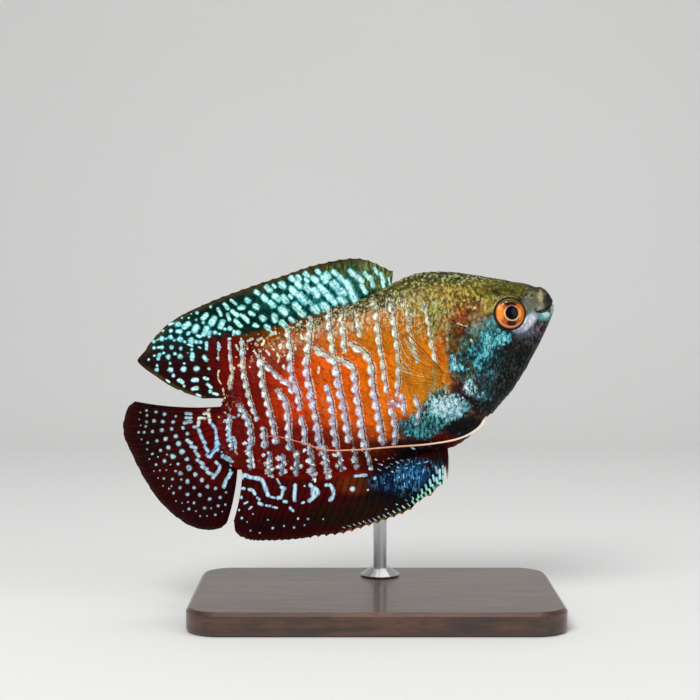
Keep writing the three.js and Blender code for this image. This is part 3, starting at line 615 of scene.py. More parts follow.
# The stretches of a mark's line, smoothed where it bends, and which places lie near it
def traceMark(place, mark, count, margin):
    corners = np.array(mark[1:], float).reshape(-1, 2)
    if len(corners) == 1:
        corners = np.concatenate([corners, corners])
    elif len(corners) > 2:
        corners = smoothPath(corners, count)
    (left, top), (right, bottom) = corners.min(0) - margin, corners.max(0) + margin
    x, y = place
    inside = np.flatnonzero((x > left) & (x < right) & (y > top) & (y < bottom))
    return list(zip(corners[:-1], corners[1:])), inside


# How far places are from the nearest of some marks, in the mark's own half widths
def fromMarks(place, marks, perCorner=4, margin=12):
    field = np.full(len(place[0]), far)
    for mark in marks:
        stretches, inside = traceMark(place, mark, perCorner * (len(mark) // 2), margin)
        near = np.full(len(inside), far)
        for start, end in stretches:
            near = np.minimum(near, fromStretch(place[0][inside], place[1][inside], start, end))
        field[inside] = np.minimum(field[inside], near / mark[0])
    return field


# How far places are from the nearest stripe's line, and on which side: over 0 towards the head
def acrossStripes(place, marks, count=20, margin=14):
    signed, near = np.full(len(place[0]), far), np.full(len(place[0]), far)
    for mark in marks:
        stretches, inside = traceMark(place, mark, count, margin)
        x, y = place[0][inside], place[1][inside]
        size = mark[0] / stripeHalf
        for start, end in stretches:
            step = end - start
            distance = fromStretch(x, y, start, end) / size
            side = ((x - start[0]) * step[1] - (y - start[1]) * step[0]) / math.hypot(*step) / size
            nearer = distance < near[inside]
            near[inside[nearer]] = distance[nearer]
            signed[inside[nearer]] = side[nearer]
    return signed, near


# The row of scales that each place is in, in whole numbers on the scales' middles
def rowPlace(along, arc):
    return arc / (scales["rowStep"] * depthShare(along) ** scales["spreads"]) - scales["phase"]


# The nearest stroke to each place, with its colour; gives how bare of strokes the places are
def markStrokes(piece, place):
    field, colours = np.full(len(place[0]), far), np.zeros((len(place[0]), 3))
    for code, marks in strokes.items():
        distance = fromMarks(place, marks)
        colours[distance < field] = tint(code)
        field = np.minimum(field, distance)
    setNumber(piece, "strokeField", field)
    setPaint(piece, "strokeTint", colours)
    return smoothStep(field, 0.5, 1.5)


def markStripes(piece, place):
    setPaint(piece, "stripeTint", layTints(place, "#9aa0b2", stripeTints))
    for name, marks in stripes.items():
        signed, near = acrossStripes(place, marks)
        setNumber(piece, name + "Across", signed)
        setNumber(piece, name + "Near", near)


def markBody(piece):
    place = seen(points(piece))
    setPaint(piece, "ground", layTints(place, groundTint, ground))
    setPaint(piece, "shineTint", layTints(place, "#55c8d4", shineTints))
    setPaint(piece, "cellTint", layTints(place, "#bfc67e", cellTints))
    bare = markStrokes(piece, place)
    for name, blobs in (("turquoise", turquoise), ("cells", cells), ("flecks", flecks), ("streaks", streaks)):
        setNumber(piece, name, layAmounts(place, blobs) * bare)
    setNumber(piece, "plain", bare)
    markStripes(piece, place)


# Finishes. A colour is a code or a socket, and a number is a constant or a socket.
class Finish:
    def __init__(self, name):
        self.material = bpy.data.materials.new(name)
        self.material.use_nodes = True
        self.nodes = self.material.node_tree.nodes
        self.links = self.material.node_tree.links
        self.shader = self.nodes["Principled BSDF"]

    def put(self, socket, value):
        if hasattr(value, "links"):
            self.links.new(value, socket)
        else:
            socket.default_value = rgba(value) if isinstance(value, str) else value

    # Puts values on the shader's sockets: baseColor is Base Color
    def set(self, **sockets):
        for key, value in sockets.items():
            name = "".join(" " + letter if letter.isupper() else letter for letter in key)
            self.put(self.shader.inputs[name.title().replace("Ior", "IOR")], value)

    def read(self, name, output):
        node = self.nodes.new("ShaderNodeAttribute")
        node.attribute_name = name
        return node.outputs[output]

    def number(self, name):
        return self.read(name, "Fac")

    def colour(self, name):
        return self.read(name, "Color")

    def count(self, kind, *values, clamp=False):
        node = self.nodes.new("ShaderNodeMath")
        node.operation = kind
        node.use_clamp = clamp
        for socket, value in zip(node.inputs, values):
            self.put(socket, value)
        return node.outputs[0]

    def times(self, first, second, clamp=False):
        return self.count("MULTIPLY", first, second, clamp=clamp)

    def plus(self, first, second, clamp=False):
        return self.count("ADD", first, second, clamp=clamp)

    def minus(self, first, second):
        return self.count("SUBTRACT", first, second)

    # The value times a factor, with something added
    def scaled(self, value, factor, added, clamp=False):
        return self.count("MULTIPLY_ADD", value, factor, added, clamp=clamp)

    # 0 below low and 1 over high, softly
    def rise(self, value, low, high):
        node = self.nodes.new("ShaderNodeMapRange")
        node.interpolation_type = "SMOOTHSTEP"
        self.put(node.inputs["Value"], value)
        self.put(node.inputs["From Min"], low)
        self.put(node.inputs["From Max"], high)
        return node.outputs["Result"]

    def fall(self, value, low, high):
        return self.minus(1.0, self.rise(value, low, high))

    # The second colour over the first, by a share, which may be the product of two
    def mix(self, first, second, share, strength=None):
        node = self.nodes.new("ShaderNodeMix")
        node.data_type = "RGBA"
        self.put(node.inputs[0], share if strength is None else self.times(share, strength))
        self.put(node.inputs[6], first)
        self.put(node.inputs[7], second)
        return node.outputs[2]

    # Grain of a size in metres, which lies as the fish does unless it is level
    def noise(self, size, detail=2.0, roughness=0.5, stretch=(1, 1, 1), level=False):
        turned = self.nodes.new("ShaderNodeMapping")
        turned.inputs["Rotation"].default_value = (0, 0 if level else math.radians(fish["raised"]), 0)
        turned.inputs["Scale"].default_value = stretch
        self.links.new(self.nodes.new("ShaderNodeTexCoord").outputs["Object"], turned.inputs["Vector"])
        node = self.nodes.new("ShaderNodeTexNoise")
        node.inputs["Scale"].default_value = 1 / size
        node.inputs["Detail"].default_value = detail
        node.inputs["Roughness"].default_value = roughness
        self.links.new(turned.outputs["Vector"], node.inputs["Vector"])
        return node.outputs["Fac"]

    # The flat unwrap of that name
    def unwrap(self, name):
        node = self.nodes.new("ShaderNodeUVMap")
        node.uv_map = name
        return node.outputs["UV"]

    # Bands over an unwrap, such as a scale's rings and a ray's joints
    def bands(self, unwrap, scale, distortion, direction="X"):
        node = self.nodes.new("ShaderNodeTexWave")
        node.bands_direction = direction
        node.inputs["Scale"].default_value = scale
        node.inputs["Distortion"].default_value = distortion
        self.links.new(unwrap, node.inputs["Vector"])
        return node.outputs["Fac"]

    def bump(self, height, strength, distance):
        node = self.nodes.new("ShaderNodeBump")
        node.inputs["Strength"].default_value = strength
        node.inputs["Distance"].default_value = distance
        self.links.new(height, node.inputs["Height"])
        self.links.new(node.outputs["Normal"], self.shader.inputs["Normal"])


# The body's colours, the same on the skin and on its scales
def bodyColours(finish):
    amount, turquoiseShare = finish.number("cells"), finish.number("turquoise")
    cloud = finish.rise(finish.noise(0.0022, 3.0), 0.35, 0.75)
    colour = finish.mix(finish.colour("ground"), "#000000", cloud, 0.3)
    patch = finish.rise(finish.noise(0.0013, 3.0), 0.48, 0.64)
    colour = finish.mix(colour, "#33240a", finish.times(patch, amount), 0.65)
    # the cells' pale middles
    fine = finish.noise(0.00049, 3.0, 0.62, (1, 1, 0.62))
    middle = finish.rise(fine, 0.48, 0.66)
    colour = finish.mix(colour, finish.colour("cellTint"), middle, finish.times(amount, 0.8))
    # the turquoise, lit in places, with painted white glints in a few
    spread = finish.scaled(turquoiseShare, 0.5, finish.noise(0.001, 3.0, 0.6))
    more = finish.scaled(turquoiseShare, 0.9, -0.9, True)
    lit = finish.rise(finish.noise(0.00055, 3.0, 0.6, (1.3, 1, 0.7)), 0.42, 0.62)
    shine = finish.mix("#0c3444", finish.colour("shineTint"), finish.plus(lit, more, True))
    white = finish.rise(finish.noise(0.0004, 2.0, 0.5, (0.8, 1, 1.3)), 0.57, 0.66)
    shine = finish.mix(shine, "#eafcfc", white, finish.times(more, 2.0, True))
    colour = finish.mix(colour, shine, finish.rise(spread, 0.58, 0.96))
    streak = finish.rise(finish.noise(0.0005, 2.0, 0.6, (1.4, 1, 0.3)), 0.54, 0.64)
    colour = finish.mix(colour, "#c6cda4", streak, finish.number("streaks"))
    # the dark net between the cells lies over the stripes too
    net = finish.times(finish.fall(fine, 0.38, 0.5), amount)
    colour = stripesOver(finish, colour, finish.times(finish.number("plain"), finish.scaled(net, -0.9, 1.0)))
    return finish.mix(colour, "#1a1808", net, 0.66)


# A band of a stripe: where its middle is across the stripe, how far it is full and where it is gone
def layBand(finish, under, across, gate, band, colour, strength, wider=0.0):
    middle, full, none = band
    away = finish.minus(finish.count("ABSOLUTE", finish.minus(across, middle)), wider)
    return finish.mix(under, colour, finish.times(finish.fall(away, full, none), gate), strength)


# The pale stripes: a row of beads, a mottled band, a thin dark line of painted shadow under the rim of the
# scale in front, and a thin pale one
def stripesOver(finish, ground, plain):
    coarse, fine = finish.noise(0.0009, 2.0), finish.noise(0.00036, 3.0, 0.65)
    grain = finish.times(finish.rise(fine, 0.46, 0.62), 0.34)
    ground = finish.mix(ground, "#0c0402", grain, plain)
    fleck = finish.times(finish.rise(finish.noise(0.00062, 2.0), 0.6, 0.65), finish.number("flecks"))
    ground = finish.mix(ground, "#dcc69a", fleck, 0.9)
    wobble = finish.times(finish.minus(coarse, 0.5), 4.0)
    wobble = finish.scaled(finish.minus(fine, 0.5), 4.0, wobble)
    # from the middle line of the row of scales, in rows
    fromRow = finish.minus(finish.count("FRACT", finish.plus(finish.number("row"), 0.5)), 0.5)
    offRow = finish.count("ABSOLUTE", fromRow)
    pale = finish.colour("stripeTint")
    tone = finish.mix(pale, "#2c2524", finish.rise(fine, 0.52, 0.66), 0.6)
    tone = finish.mix(tone, "#dbe8e6", finish.fall(fine, 0.36, 0.46), 0.7)
    tone = finish.mix(tone, "#5a4a52", finish.rise(offRow, 0.26, 0.5), 0.28)
    swell = finish.times(finish.fall(offRow, 0.1, 0.48), 0.6)
    beadTone = finish.mix("#f6fefc", pale, finish.rise(finish.noise(0.0011, 2.0, 0.7), 0.46, 0.64))
    beadTone = finish.mix(beadTone, pale, 0.08)
    beadHigh = finish.times(fromRow, 2.9)
    paleLine = finish.scaled(finish.fall(fine, 0.42, 0.56), 0.65, 0.12)
    shade = finish.times(finish.rise(coarse, 0.42, 0.62), 0.45)
    for name in stripes:
        across = finish.plus(finish.number(name + "Across"), wobble)
        near = finish.plus(finish.number(name + "Near"), finish.times(coarse, 3.0))
        gate = finish.times(finish.fall(near, 5.2, 8.4), plain)
        ground = layBand(finish, ground, across, gate, (0.3, 1.5, 2.6), tone, 0.9, swell)
        # the thin dark line: painted shadow under the rim of the scale in front
        ground = layBand(finish, ground, across, gate, (3.0, 0.2, 0.9), "#240e08", 0.75)
        ground = layBand(finish, ground, across, gate, (4.2, 0.2, 1.1), "#d8dcc8", paleLine)
        beadWide = finish.count("DIVIDE", finish.plus(across, 1.9), 2.2)
        oval = finish.count("SQRT", finish.scaled(beadWide, beadWide, finish.times(beadHigh, beadHigh)))
        ground = finish.mix(ground, beadTone, finish.times(finish.fall(oval, 0.4, 1.2), gate), 0.9)
        ground = layBand(finish, ground, across, gate, (0.2, 0.0, 0.7), "#2c2524", shade)
    return strokesOver(finish, ground)


def strokesOver(finish, ground):
    grain, glitter = finish.noise(0.00052, 2.0, 0.6), finish.noise(0.0004, 3.0, 0.6)
    field = finish.plus(finish.number("strokeField"), finish.scaled(grain, 3.0, -1.5))
    tone = finish.mix(finish.colour("strokeTint"), "#141a20", finish.rise(glitter, 0.5, 0.64), 0.5)
    tone = finish.mix(tone, "#ffffff", finish.fall(glitter, 0.36, 0.46), 0.3)
    return finish.mix(ground, tone, finish.fall(field, 0.6, 1.25))


def skinFinish():
    finish = Finish("fishSkin")
    # painted shade in the mouth's split, the gill slit and the nostrils
    colour = finish.mix(bodyColours(finish), "#0b0807", finish.rise(finish.number("pit"), 0.0, 1.0))
    finish.bump(finish.noise(0.00016, 2.0), 0.35, 0.00006)
    finish.set(baseColor=colour, roughness=0.36, specularIorLevel=0.05, coatWeight=0.02, coatRoughness=0.12)
    return finish.material


def scaleFinish(name, cover):
    finish = Finish(name)
    scalePlace, turquoiseShare = finish.unwrap("scalePlace"), finish.number("turquoise")
    split = finish.nodes.new("ShaderNodeSeparateXYZ")
    finish.links.new(scalePlace, split.inputs[0])
    # 0 on the rear rim and 1 where the scale in front covers it
    fromRim = finish.count("DIVIDE", finish.minus(1.0, split.outputs[0]), cover["seen"])
    colour = finish.mix(bodyColours(finish), "#000000", finish.number("tone"), cover["tone"])
    colour = finish.mix(colour, "#1a0503", finish.rise(fromRim, 0.75, 1.1), cover["shade"])
    dark = finish.scaled(turquoiseShare, 0.35, cover["dark"], True)
    line = finish.fall(fromRim, 0.0, finish.scaled(turquoiseShare, 0.12, cover["line"]))
    broken = finish.rise(finish.noise(0.0008, 2.0), 0.3, 0.6)
    colour = finish.mix(colour, "#1c0d06", finish.times(line, dark), broken)
    finish.bump(finish.bands(scalePlace, 3.2, 1.2), 0.2, 0.00005)
    finish.set(baseColor=colour, roughness=0.34, specularIorLevel=0.055, coatWeight=0.02, coatRoughness=0.12)
    return finish.material


# The body's scales: the skin's markings follow their rows
scales = {
    "step": 2.369,                # from column to column, in percent of the fish's length
    "rowStep": 1.85 * mm,
    "phase": -0.06,
    "spreads": 0.8,               # rows draw together where the body narrows
    "stagger": 0.0,
    "rows": 14, "columns": (-6, 62),
    "length": 2.5 * mm, "halfWidth": 1.26 * mm,
    "frontDepth": 0.19 * mm, "rearDepth": -0.03 * mm, "thickness": 0.05 * mm,
    "curve": 0.36,
    "steps": (8, 8),
}
# The skin. Places are along and up, in percent of the length, and the eye's radius is in mm.
skin = {
    "stations": 320, "around": 280,
    "spread": [[0, 0], [0.12, 3.4], [0.6, 36], [0.94, 100.6], [1, 103]],   # shares of the stations, along
    "lastStations": 12,
    "depth": [[0, 0.02], [6, 0.05], [20, 0.14], [30, 0.2], [103, 0.2]],    # under the solids' surface, in mm
    "eye": (12.95, 2.0), "eyeRadius": 2.7,
    "mouth": [(-1, 0.1), (0, -0.1), (1.6, -0.5), (3.2, -0.75), (4.7, -0.5)],
    "jawEdge": [(3.9, -1.1), (5.7, -3.4), (6.3, -6), (6.5, -8)],
    "nostrils": [(4.8, 4.3), (6.4, 5.2)],
    "snoutFold": (3.6, 3.1),
    "gillOpening": [
        (28.0, 6.5), (28.6, 5), (30.4, 3), (32.6, -3), (34.2, -9), (33.8, -13), (31.4, -18), (28.2, -22.5),
    ],
    "gillCover": [
        (29.9, 4.2), (25.5, 4.6), (21.5, 2.2), (19.6, -2.5), (19.4, -7.5), (21.4, -12.6), (25, -16),
        (29.5, -17.4),
    ],
    "cheekEdge": [(17.0, 1.5), (17.6, -3.5), (16.8, -9), (13.5, -12.5), (9.5, -10.5)],
}
gillEdge = smoothPath(skin["gillOpening"], 60)


# Side-view distances in mm
def fromPoint(along, up, point):
    return np.hypot(along - point[0], up - point[1]) * percent / mm


def fromPath(along, up, corners):
    near = np.full(np.shape(along), np.inf)
    for start, end in zip(corners[:-1], corners[1:]):
        near = np.minimum(near, fromStretch(along, up, start, end))
    return near * percent / mm


# Where the gill opening is at a height
def gillLine(up):
    return np.interp(up, gillEdge[::-1, 1], gillEdge[::-1, 0])


# Raised and sunk forms: how high they stand, in mm along the skin's outward direction, and how much shade is
# painted into their splits and holes
def mouthRelief(along, up):
    mouth = smoothPath(skin["mouth"])
    split = fromPath(along, up, mouth)
    high = (up - np.interp(along, mouth[:, 0], mouth[:, 1])) * percent / mm
    near = smoothStep(along, -1.4, -0.4) * smoothFall(along, 3.4, 4.8)
    relief = near * (0.17 * bell(high - 0.5, 0.36) + 0.12 * bell(high + 0.4, 0.26))
    relief -= near * (0.07 * bell(high - 0.95, 0.16) + 0.06 * bell(high + 0.9, 0.16))
    relief += 0.2 * smoothFall(along, 0.6, 2.4) * bell(high - 1.2, 0.8)
    relief -= (0.14 + 0.14 * smoothStep(along, 0.2, 1.6)) * bell(split, 0.11)
    # the painted shade along the mouth's split
    return relief, 0.9 * bell(split, 0.12)


def gillRelief(along, up):
    slit = fromPath(along, up, gillEdge)
    ahead = (gillLine(up) - along) * percent / mm
    within = smoothStep(up, -21, -17.5) * smoothFall(up, 4.2, 5.8)
    relief = 0.26 * within * smoothStep(ahead, -0.05, 0.25) * smoothFall(ahead, 4.5, 9.5)
    relief -= 0.34 * within * bell(slit, 0.16) * (ahead < 0.1)
    relief -= 0.1 * bell(fromPath(along, up, smoothPath(skin["gillCover"], 60)), 0.16) * (ahead > 0.6)
    # the painted shade in the gill slit
    return relief, 0.8 * within * bell(slit, 0.14)


def headRelief(along, up):
    away = fromPoint(along, up, skin["eye"]) - skin["eyeRadius"]
    relief = 0.16 * bell(away - 0.42, 0.3) - 0.05 * bell(away - 1.1, 0.25)
    relief -= 1.1 * smoothFall(away, -0.5, 0.05)
    relief += 0.12 * bell(fromPoint(along, up, skin["snoutFold"]), 0.6)
    relief -= 0.12 * bell(fromPath(along, up, smoothPath(skin["jawEdge"])), 0.16)
    relief -= 0.09 * bell(fromPath(along, up, smoothPath(skin["cheekEdge"])), 0.2)
    mouth, mouthShade = mouthRelief(along, up)
    gill, gillShade = gillRelief(along, up)
    pit = np.maximum(mouthShade, gillShade)
    for nostril in skin["nostrils"]:
        hole = fromPoint(along, up, nostril)
        relief += 0.1 * bell(hole - 0.3, 0.13) - 0.32 * bell(hole, 0.2)
        # painted shade in the nostril's hole
        pit = np.maximum(pit, bell(hole, 0.19))
    return relief + mouth + gill, pit


# Where the skin's stations stand: closer together on the snout and at the end
def skinStations():
    share = np.linspace(0, 1, skin["stations"] + 1)
    steps = np.interp(share, *np.array(skin["spread"]).T)
    snoutShare, snout = skin["spread"][1]
    steps = np.where(share < snoutShare, snout * (share / snoutShare) ** 1.7, steps)
    last, end = skin["lastStations"], body["end"]
    steps[-last:] = end - (end - steps[-last]) * (1 - np.linspace(0, 1, last)) ** 1.5
    return steps


def makeSkin():
    turn = np.linspace(-math.pi / 2, 1.5 * math.pi, skin["around"] + 1)
    along, turn = np.meshgrid(skinStations(), turn, indexing="ij")
    place, normal = bodySurface(along, turn)
    relief, pit = headRelief(along, heightAt(along, turn))
    depth = curveThrough(skin["depth"])(along)
    piece, row, column = layGrid("fishSkin", place + normal * ((relief - depth) * mm)[..., None])
    setNumber(piece, "pit", pit[row, column])
    setNumber(piece, "row", rowPlace(along, arcAt(along, turn))[row, column])
    closeShell(piece)
    smoothFaces(piece, 75)
    markBody(piece)
    finishPiece(piece, skinFinish(), "skin", "head", "lower_jaw", "gill_cover_left", "gill_cover_right",
                "trunk", "tail_stalk")


makeSkin()

# Scales: one is shaped, and copies of it are laid over the skin in rows. Their columns lean as the
# stripes do, two columns to a stripe and its gap.
lattice = {"first": 91.32, "lean": 0.2152}
headScales = {
    "step": 1.6,
    "rowStep": 1.15 * mm,
    "phase": 0.2,
    "spreads": 0,
    "stagger": 0.5,
    "rows": 20, "columns": (34, 62),
    "length": 1.65 * mm, "halfWidth": 0.78 * mm,
    "frontDepth": 0.11 * mm, "rearDepth": -0.03 * mm, "thickness": 0.04 * mm,
    "curve": 0.36,
    "steps": (6, 6),
}
coverAt = 0.71   # the middle of a scale's visible part, as a share of its length
scaleMap = {"wide": 0.95, "high": 0.46, "reach": 40 * mm}   # the patches of the flat unwrap, a little apart


def onBody(along, up):
    start = np.where(up > 6, 26.5 - 0.12 * (up - 6), gillLine(up) + 1.6)
    start = np.where(up < -21, 29.5 - 0.35 * (up + 21), start)
    return (along > start) & (along < 101.6)


def onHead(along, up):
    nape = (up > 4.5) & (along > 9.5) & (along < 27.5)
    face = (along > 13) & (along < gillLine(up) - 0.9) & (up < 4.5)
    chin = (up < -13.5) & (along > 12) & (along < gillLine(np.maximum(up, -22)) - 0.9)
    return (nape | face | chin) & (fromPoint(along, up, skin["eye"]) > 3.75)


def scaleCentres(layout, chosen):
    rows = np.arange(-layout["rows"], layout["rows"] + 1.0)
    columns = np.arange(*layout["columns"], dtype=float)
    row, column = (part.ravel() for part in np.meshgrid(rows, columns, indexing="ij"))
    level = lattice["first"] - column * layout["step"]
    along = np.clip(level, 1, 102)
    level = level + layout["stagger"] * layout["step"] * (row % 2)
    for _ in range(8):
        size = depthShare(along) ** layout["spreads"]
        arc = (row + layout["phase"]) * layout["rowStep"] * size
        up = heightAt(along, turnAt(along, arc))
        wanted = level - lattice["lean"] * up
        along = np.clip(wanted, 0.6, 102.4)
    room = np.where(arc > 0, halfArc(along, True), halfArc(along, False)) + 0.3 * mm
    kept = (np.abs(arc) < room) & (np.abs(wanted - along) < 0.01) & chosen(along, up)
    return along[kept], arc[kept], size[kept]


# One scale's shape: way runs from its front, hidden edge to its rear rim, and across from side to side
def scaleShape(layout):
    lengthSteps, acrossSteps = layout["steps"]
    way, across = np.meshgrid(
        np.linspace(0, 1, lengthSteps + 1) ** 0.8, np.linspace(-1, 1, acrossSteps + 1), indexing="ij")
    narrow = 1 - 0.22 * (1 - way) ** 2 - 0.1 * way**4
    lengthways = way * (1 - layout["curve"] * np.abs(across) ** 2.2)
    lift = -layout["frontDepth"] + (layout["frontDepth"] - layout["rearDepth"]) * way - 0.03 * mm * across**2
    return way, across, lengthways - coverAt, across * narrow * layout["halfWidth"], lift


def layScales(name, layout, chosen, side, material):
    centres = scaleCentres(layout, chosen)
    number = np.arange(len(centres[0]))
    alongAt, arcAround, size = (values[:, None, None] for values in centres)

    # a small difference from scale to scale
    def vary(seed):
        return (scatter(number, seed, side) - 0.5)[:, None, None]

    # laid on the body
    way, across, lengthways, sideways, lift = scaleShape(layout)
    size = size * (1 + 0.05 * vary(3.0))
    reach = layout["length"] / percent * (0.4 + 0.6 * size)
    along = np.clip(alongAt + vary(1.0) * 0.1 * layout["step"] + lengthways * reach, 0.5, 102.8)
    arc = arcAround + vary(2.0) * 0.08 * layout["rowStep"] + sideways * size
    turn = turnAt(along, arc)
    place, normal = bodySurface(along, turn)
    relief = np.clip(headRelief(along, heightAt(along, turn))[0], -0.15, 0.5) * (along < 36)
    place = place + normal * (lift + 0.05 * mm * vary(4.0) * across + relief * mm)[..., None]
    index = np.arange(way.size).reshape(way.shape)
    quads = np.stack([index[:-1, :-1], index[1:, :-1], index[1:, 1:], index[:-1, 1:]], axis=-1).reshape(-1, 4)
    if side < 0:
        place = place * np.array([1, -1, 1])
        quads = quads[:, ::-1]
    faces = (quads[None] + (number * way.size)[:, None, None]).reshape(-1, 4)
    mesh = bpy.data.meshes.new(name)
    mesh.from_pydata(place.reshape(-1, 3).tolist(), [], faces.tolist())
    piece = bpy.data.objects.new(name, mesh)
    scene.collection.objects.link(piece)
    # a scale's own patch on a flat unwrap of the skin, and places inside the scale
    patch = np.stack(np.broadcast_arrays(
        (alongAt + (way - coverAt) * layout["step"] * scaleMap["wide"]) / body["end"],
        0.5 + (arcAround + across * scaleMap["high"] * layout["rowStep"]) / scaleMap["reach"]), axis=-1)
    inside = np.broadcast_to(np.stack([way, (across + 1) / 2], axis=-1), patch.shape)
    corner = np.zeros(len(mesh.loops), int)
    mesh.loops.foreach_get("vertex_index", corner)
    for label, values in (("OFBake", patch), ("scalePlace", inside)):
        layer = mesh.uv_layers.new(name=label)
        layer.data.foreach_set("uv", values.reshape(-1, 2)[corner].astype(np.float32).ravel())
    setNumber(piece, "row", rowPlace(along, arc))
    setNumber(piece, "tone", np.repeat(scatter(number, 5.0, side), way.size))
    markBody(piece)
    useModifier(piece, "SOLIDIFY", thickness=layout["thickness"], offset=-1.0)
    smoothFaces(piece, 60)
    finishPiece(piece, material, "skin")
    print(name, len(number), "scales")


bodyCover = {"seen": 0.57, "line": 0.1, "dark": 0.16, "shade": 0.22, "tone": 0.12}
headCover = {"seen": 0.57, "line": 0.14, "dark": 0.25, "shade": 0.25, "tone": 0.14}
bodyScaleFinish, headScaleFinish = scaleFinish("bodyScales", bodyCover), scaleFinish("headScales", headCover)
layScales("bodyScalesRight", scales, onBody, 1, bodyScaleFinish)
layScales("bodyScalesLeft", scales, onBody, -1, bodyScaleFinish)
layScales("headScalesRight", headScales, onHead, 1, headScaleFinish)
layScales("headScalesLeft", headScales, onHead, -1, headScaleFinish)

# Eyes: one smooth dome each, painted in rings, set as deep as in the solids. Radii and shift in mm.
eyes = {
    "sunk": 0.45 * mm, "yaw": 0.22, "tilt": 0.08, "radius": skin["eyeRadius"] * mm,
    "profile": [
        (0, -0.42), (0.3, -0.39), (0.62, -0.32), (0.86, -0.16), (0.97, -0.03), (1.0, 0.06), (0.985, 0.12),
        (0.9, 0.205), (0.75, 0.285), (0.6, 0.34), (0.48, 0.372), (0.42, 0.385), (0.36, 0.412), (0.25, 0.438),
        (0.12, 0.45), (0, 0.453),
    ],
    "down": 80, "around": 96,
    "pupil": 1.12, "paleRing": 1.27, "iris": 2.42, "rim": 2.66, "ahead": 0.2,
}
eyeRim = {"thick": 0.2 * mm, "out": 0.2 * mm, "flat": 0.9, "crease": "#a09560"}


# Half the body's width in metres at one place
def flankAt(along, up):
    return float(flank(np.array([along]), np.array([up]))[0]) * percent


def eyeTurn(side):
    ahead, _, high = world(*skin["eye"], 0)
    lie = Matrix.Rotation(-math.radians(fish["raised"]), 4, "Y")
    lie = lie @ Matrix.Rotation(-eyes["yaw"], 4, "Z") @ Matrix.Rotation(eyes["tilt"], 4, "X")
    placed = Matrix.Translation((ahead, flankAt(*skin["eye"]) - eyes["sunk"], high)) @ lie
    return Matrix.Diagonal((1, side, 1, 1)) @ placed


def eyeFinish():
    finish = Finish("eye")
    fibres = finish.rise(finish.noise(0.0002, 3.0), 0.45, 0.7)
    colour = finish.mix(finish.colour("paint"), "#000000", finish.times(fibres, finish.number("iris")), 0.3)
    finish.set(baseColor=colour, roughness=0.14, specularIorLevel=0.1, coatWeight=0.03, coatRoughness=0.03)
    return finish.material


# The eye's colours, painted one over the other on its front, in mm from its middle; among them are the brow's
# painted shadow over the top of the iris and two painted highlights
def eyePaint(flat):
    ring = np.hypot(flat[:, 0], flat[:, 2])
    inner = np.hypot(flat[:, 0] - eyes["ahead"], flat[:, 2])
    behind = flat[:, 1] <= -0.2
    # marks stand level in the frame, though the fish is raised
    raised = math.radians(fish["raised"])
    right = flat[:, 0] * math.cos(raised) - flat[:, 2] * math.sin(raised)
    high = flat[:, 0] * math.sin(raised) + flat[:, 2] * math.cos(raised)

    def spot(x, z, wide, tall):
        return smoothFall(np.hypot((right - x) / wide, (high - z) / tall), 0.6, 1.2)

    lower = smoothFall(high + 0.3 * right, -1.4, -0.3)
    ringTop = smoothFall(high + 0.5 * right, -0.2, 0.6)
    outer = smoothStep(ring, eyes["iris"], eyes["iris"] + 0.1)
    edge = smoothStep(ring, eyes["rim"] - 0.12, eyes["rim"])
    olive = smoothStep(high, 1.0, 1.9)
    colours = np.broadcast_to(tint("#a85214"), (len(ring), 3)).copy()
    for code, share in (
        ("#e88c30", 0.95 * spot(-1.75, 0.1, 0.6, 1.5)),
        ("#b4661e", 0.8 * spot(1.95, 0.0, 0.5, 1.4)),
        ("#dc8a2e", 0.85 * spot(1.62, 0.0, 0.36, 1.1)),
        ("#b8521c", 0.7 * spot(-0.7, -1.75, 1.3, 0.5)),
        ("#dcb098", 0.8 * bell(ring - 2.24, 0.08) * lower),
        # painted shadow of the brow: a dark band over the top of the iris
        ("#5a3a16", 0.9 * smoothStep(high, 1.45, 1.75)),
        ("#c4561c", 0.7 * spot(1.42, 1.2, 0.45, 0.45)),
        ("#1c0b06", 0.97 * spot(0.05, 1.5, 1.1, 0.5)),
        ("#200c08", 0.97 * spot(0.12, -1.6, 0.95, 0.54)),
        ("#5c5426", 0.9 * smoothStep(high, 1.8, 2.1)),
        # painted shadow of the brow: a dark arc along the iris's upper edge
        ("#1e1a0c", 0.85 * bell(ring - 2.2, 0.06) * smoothStep(high, 1.3, 1.9)),
        # painted highlights: two small cream dashes at the top left
        ("#e4d2ae", 0.9 * (spot(-1.25, 1.6, 0.1, 0.2) + spot(-0.7, 1.95, 0.24, 0.08))),
        ("#f0dcc0", 0.9 * bell(inner - eyes["paleRing"], 0.06) * (0.3 + 0.7 * ringTop)),
        ("#040305", smoothFall(inner, eyes["pupil"] - 0.02, eyes["pupil"] + 0.06)),
        ("#3c1e0c", outer),
        ("#3a3216", 0.9 * outer * olive),
        ("#15110c", edge * (1 - 0.6 * olive) + behind),
    ):
        colours += (tint(code) - colours) * np.clip(share, 0, 1)[:, None]
    return colours, smoothStep(ring, 1.3, 1.5) * smoothFall(ring, 2.2, 2.4)


def makeEye(name, side, material, node):
    line = smoothPath(np.array(eyes["profile"]) * eyes["radius"], eyes["down"] + 1)[:, :, None]
    turn = np.linspace(0, 2 * math.pi, eyes["around"] + 1)
    out, high = line[:, 0], line[:, 1]
    places = np.stack(np.broadcast_arrays(out * np.cos(turn), high, out * np.sin(turn)), axis=-1)
    piece = layGrid(name, places)[0]
    closeShell(piece)
    colours, iris = eyePaint(points(piece) / mm)
    setPaint(piece, "paint", colours)
    setNumber(piece, "iris", iris)
    piece.data.transform(eyeTurn(side))
    closeShell(piece)
    smoothFaces(piece, 70)
    finishPiece(piece, material, "eye", node)


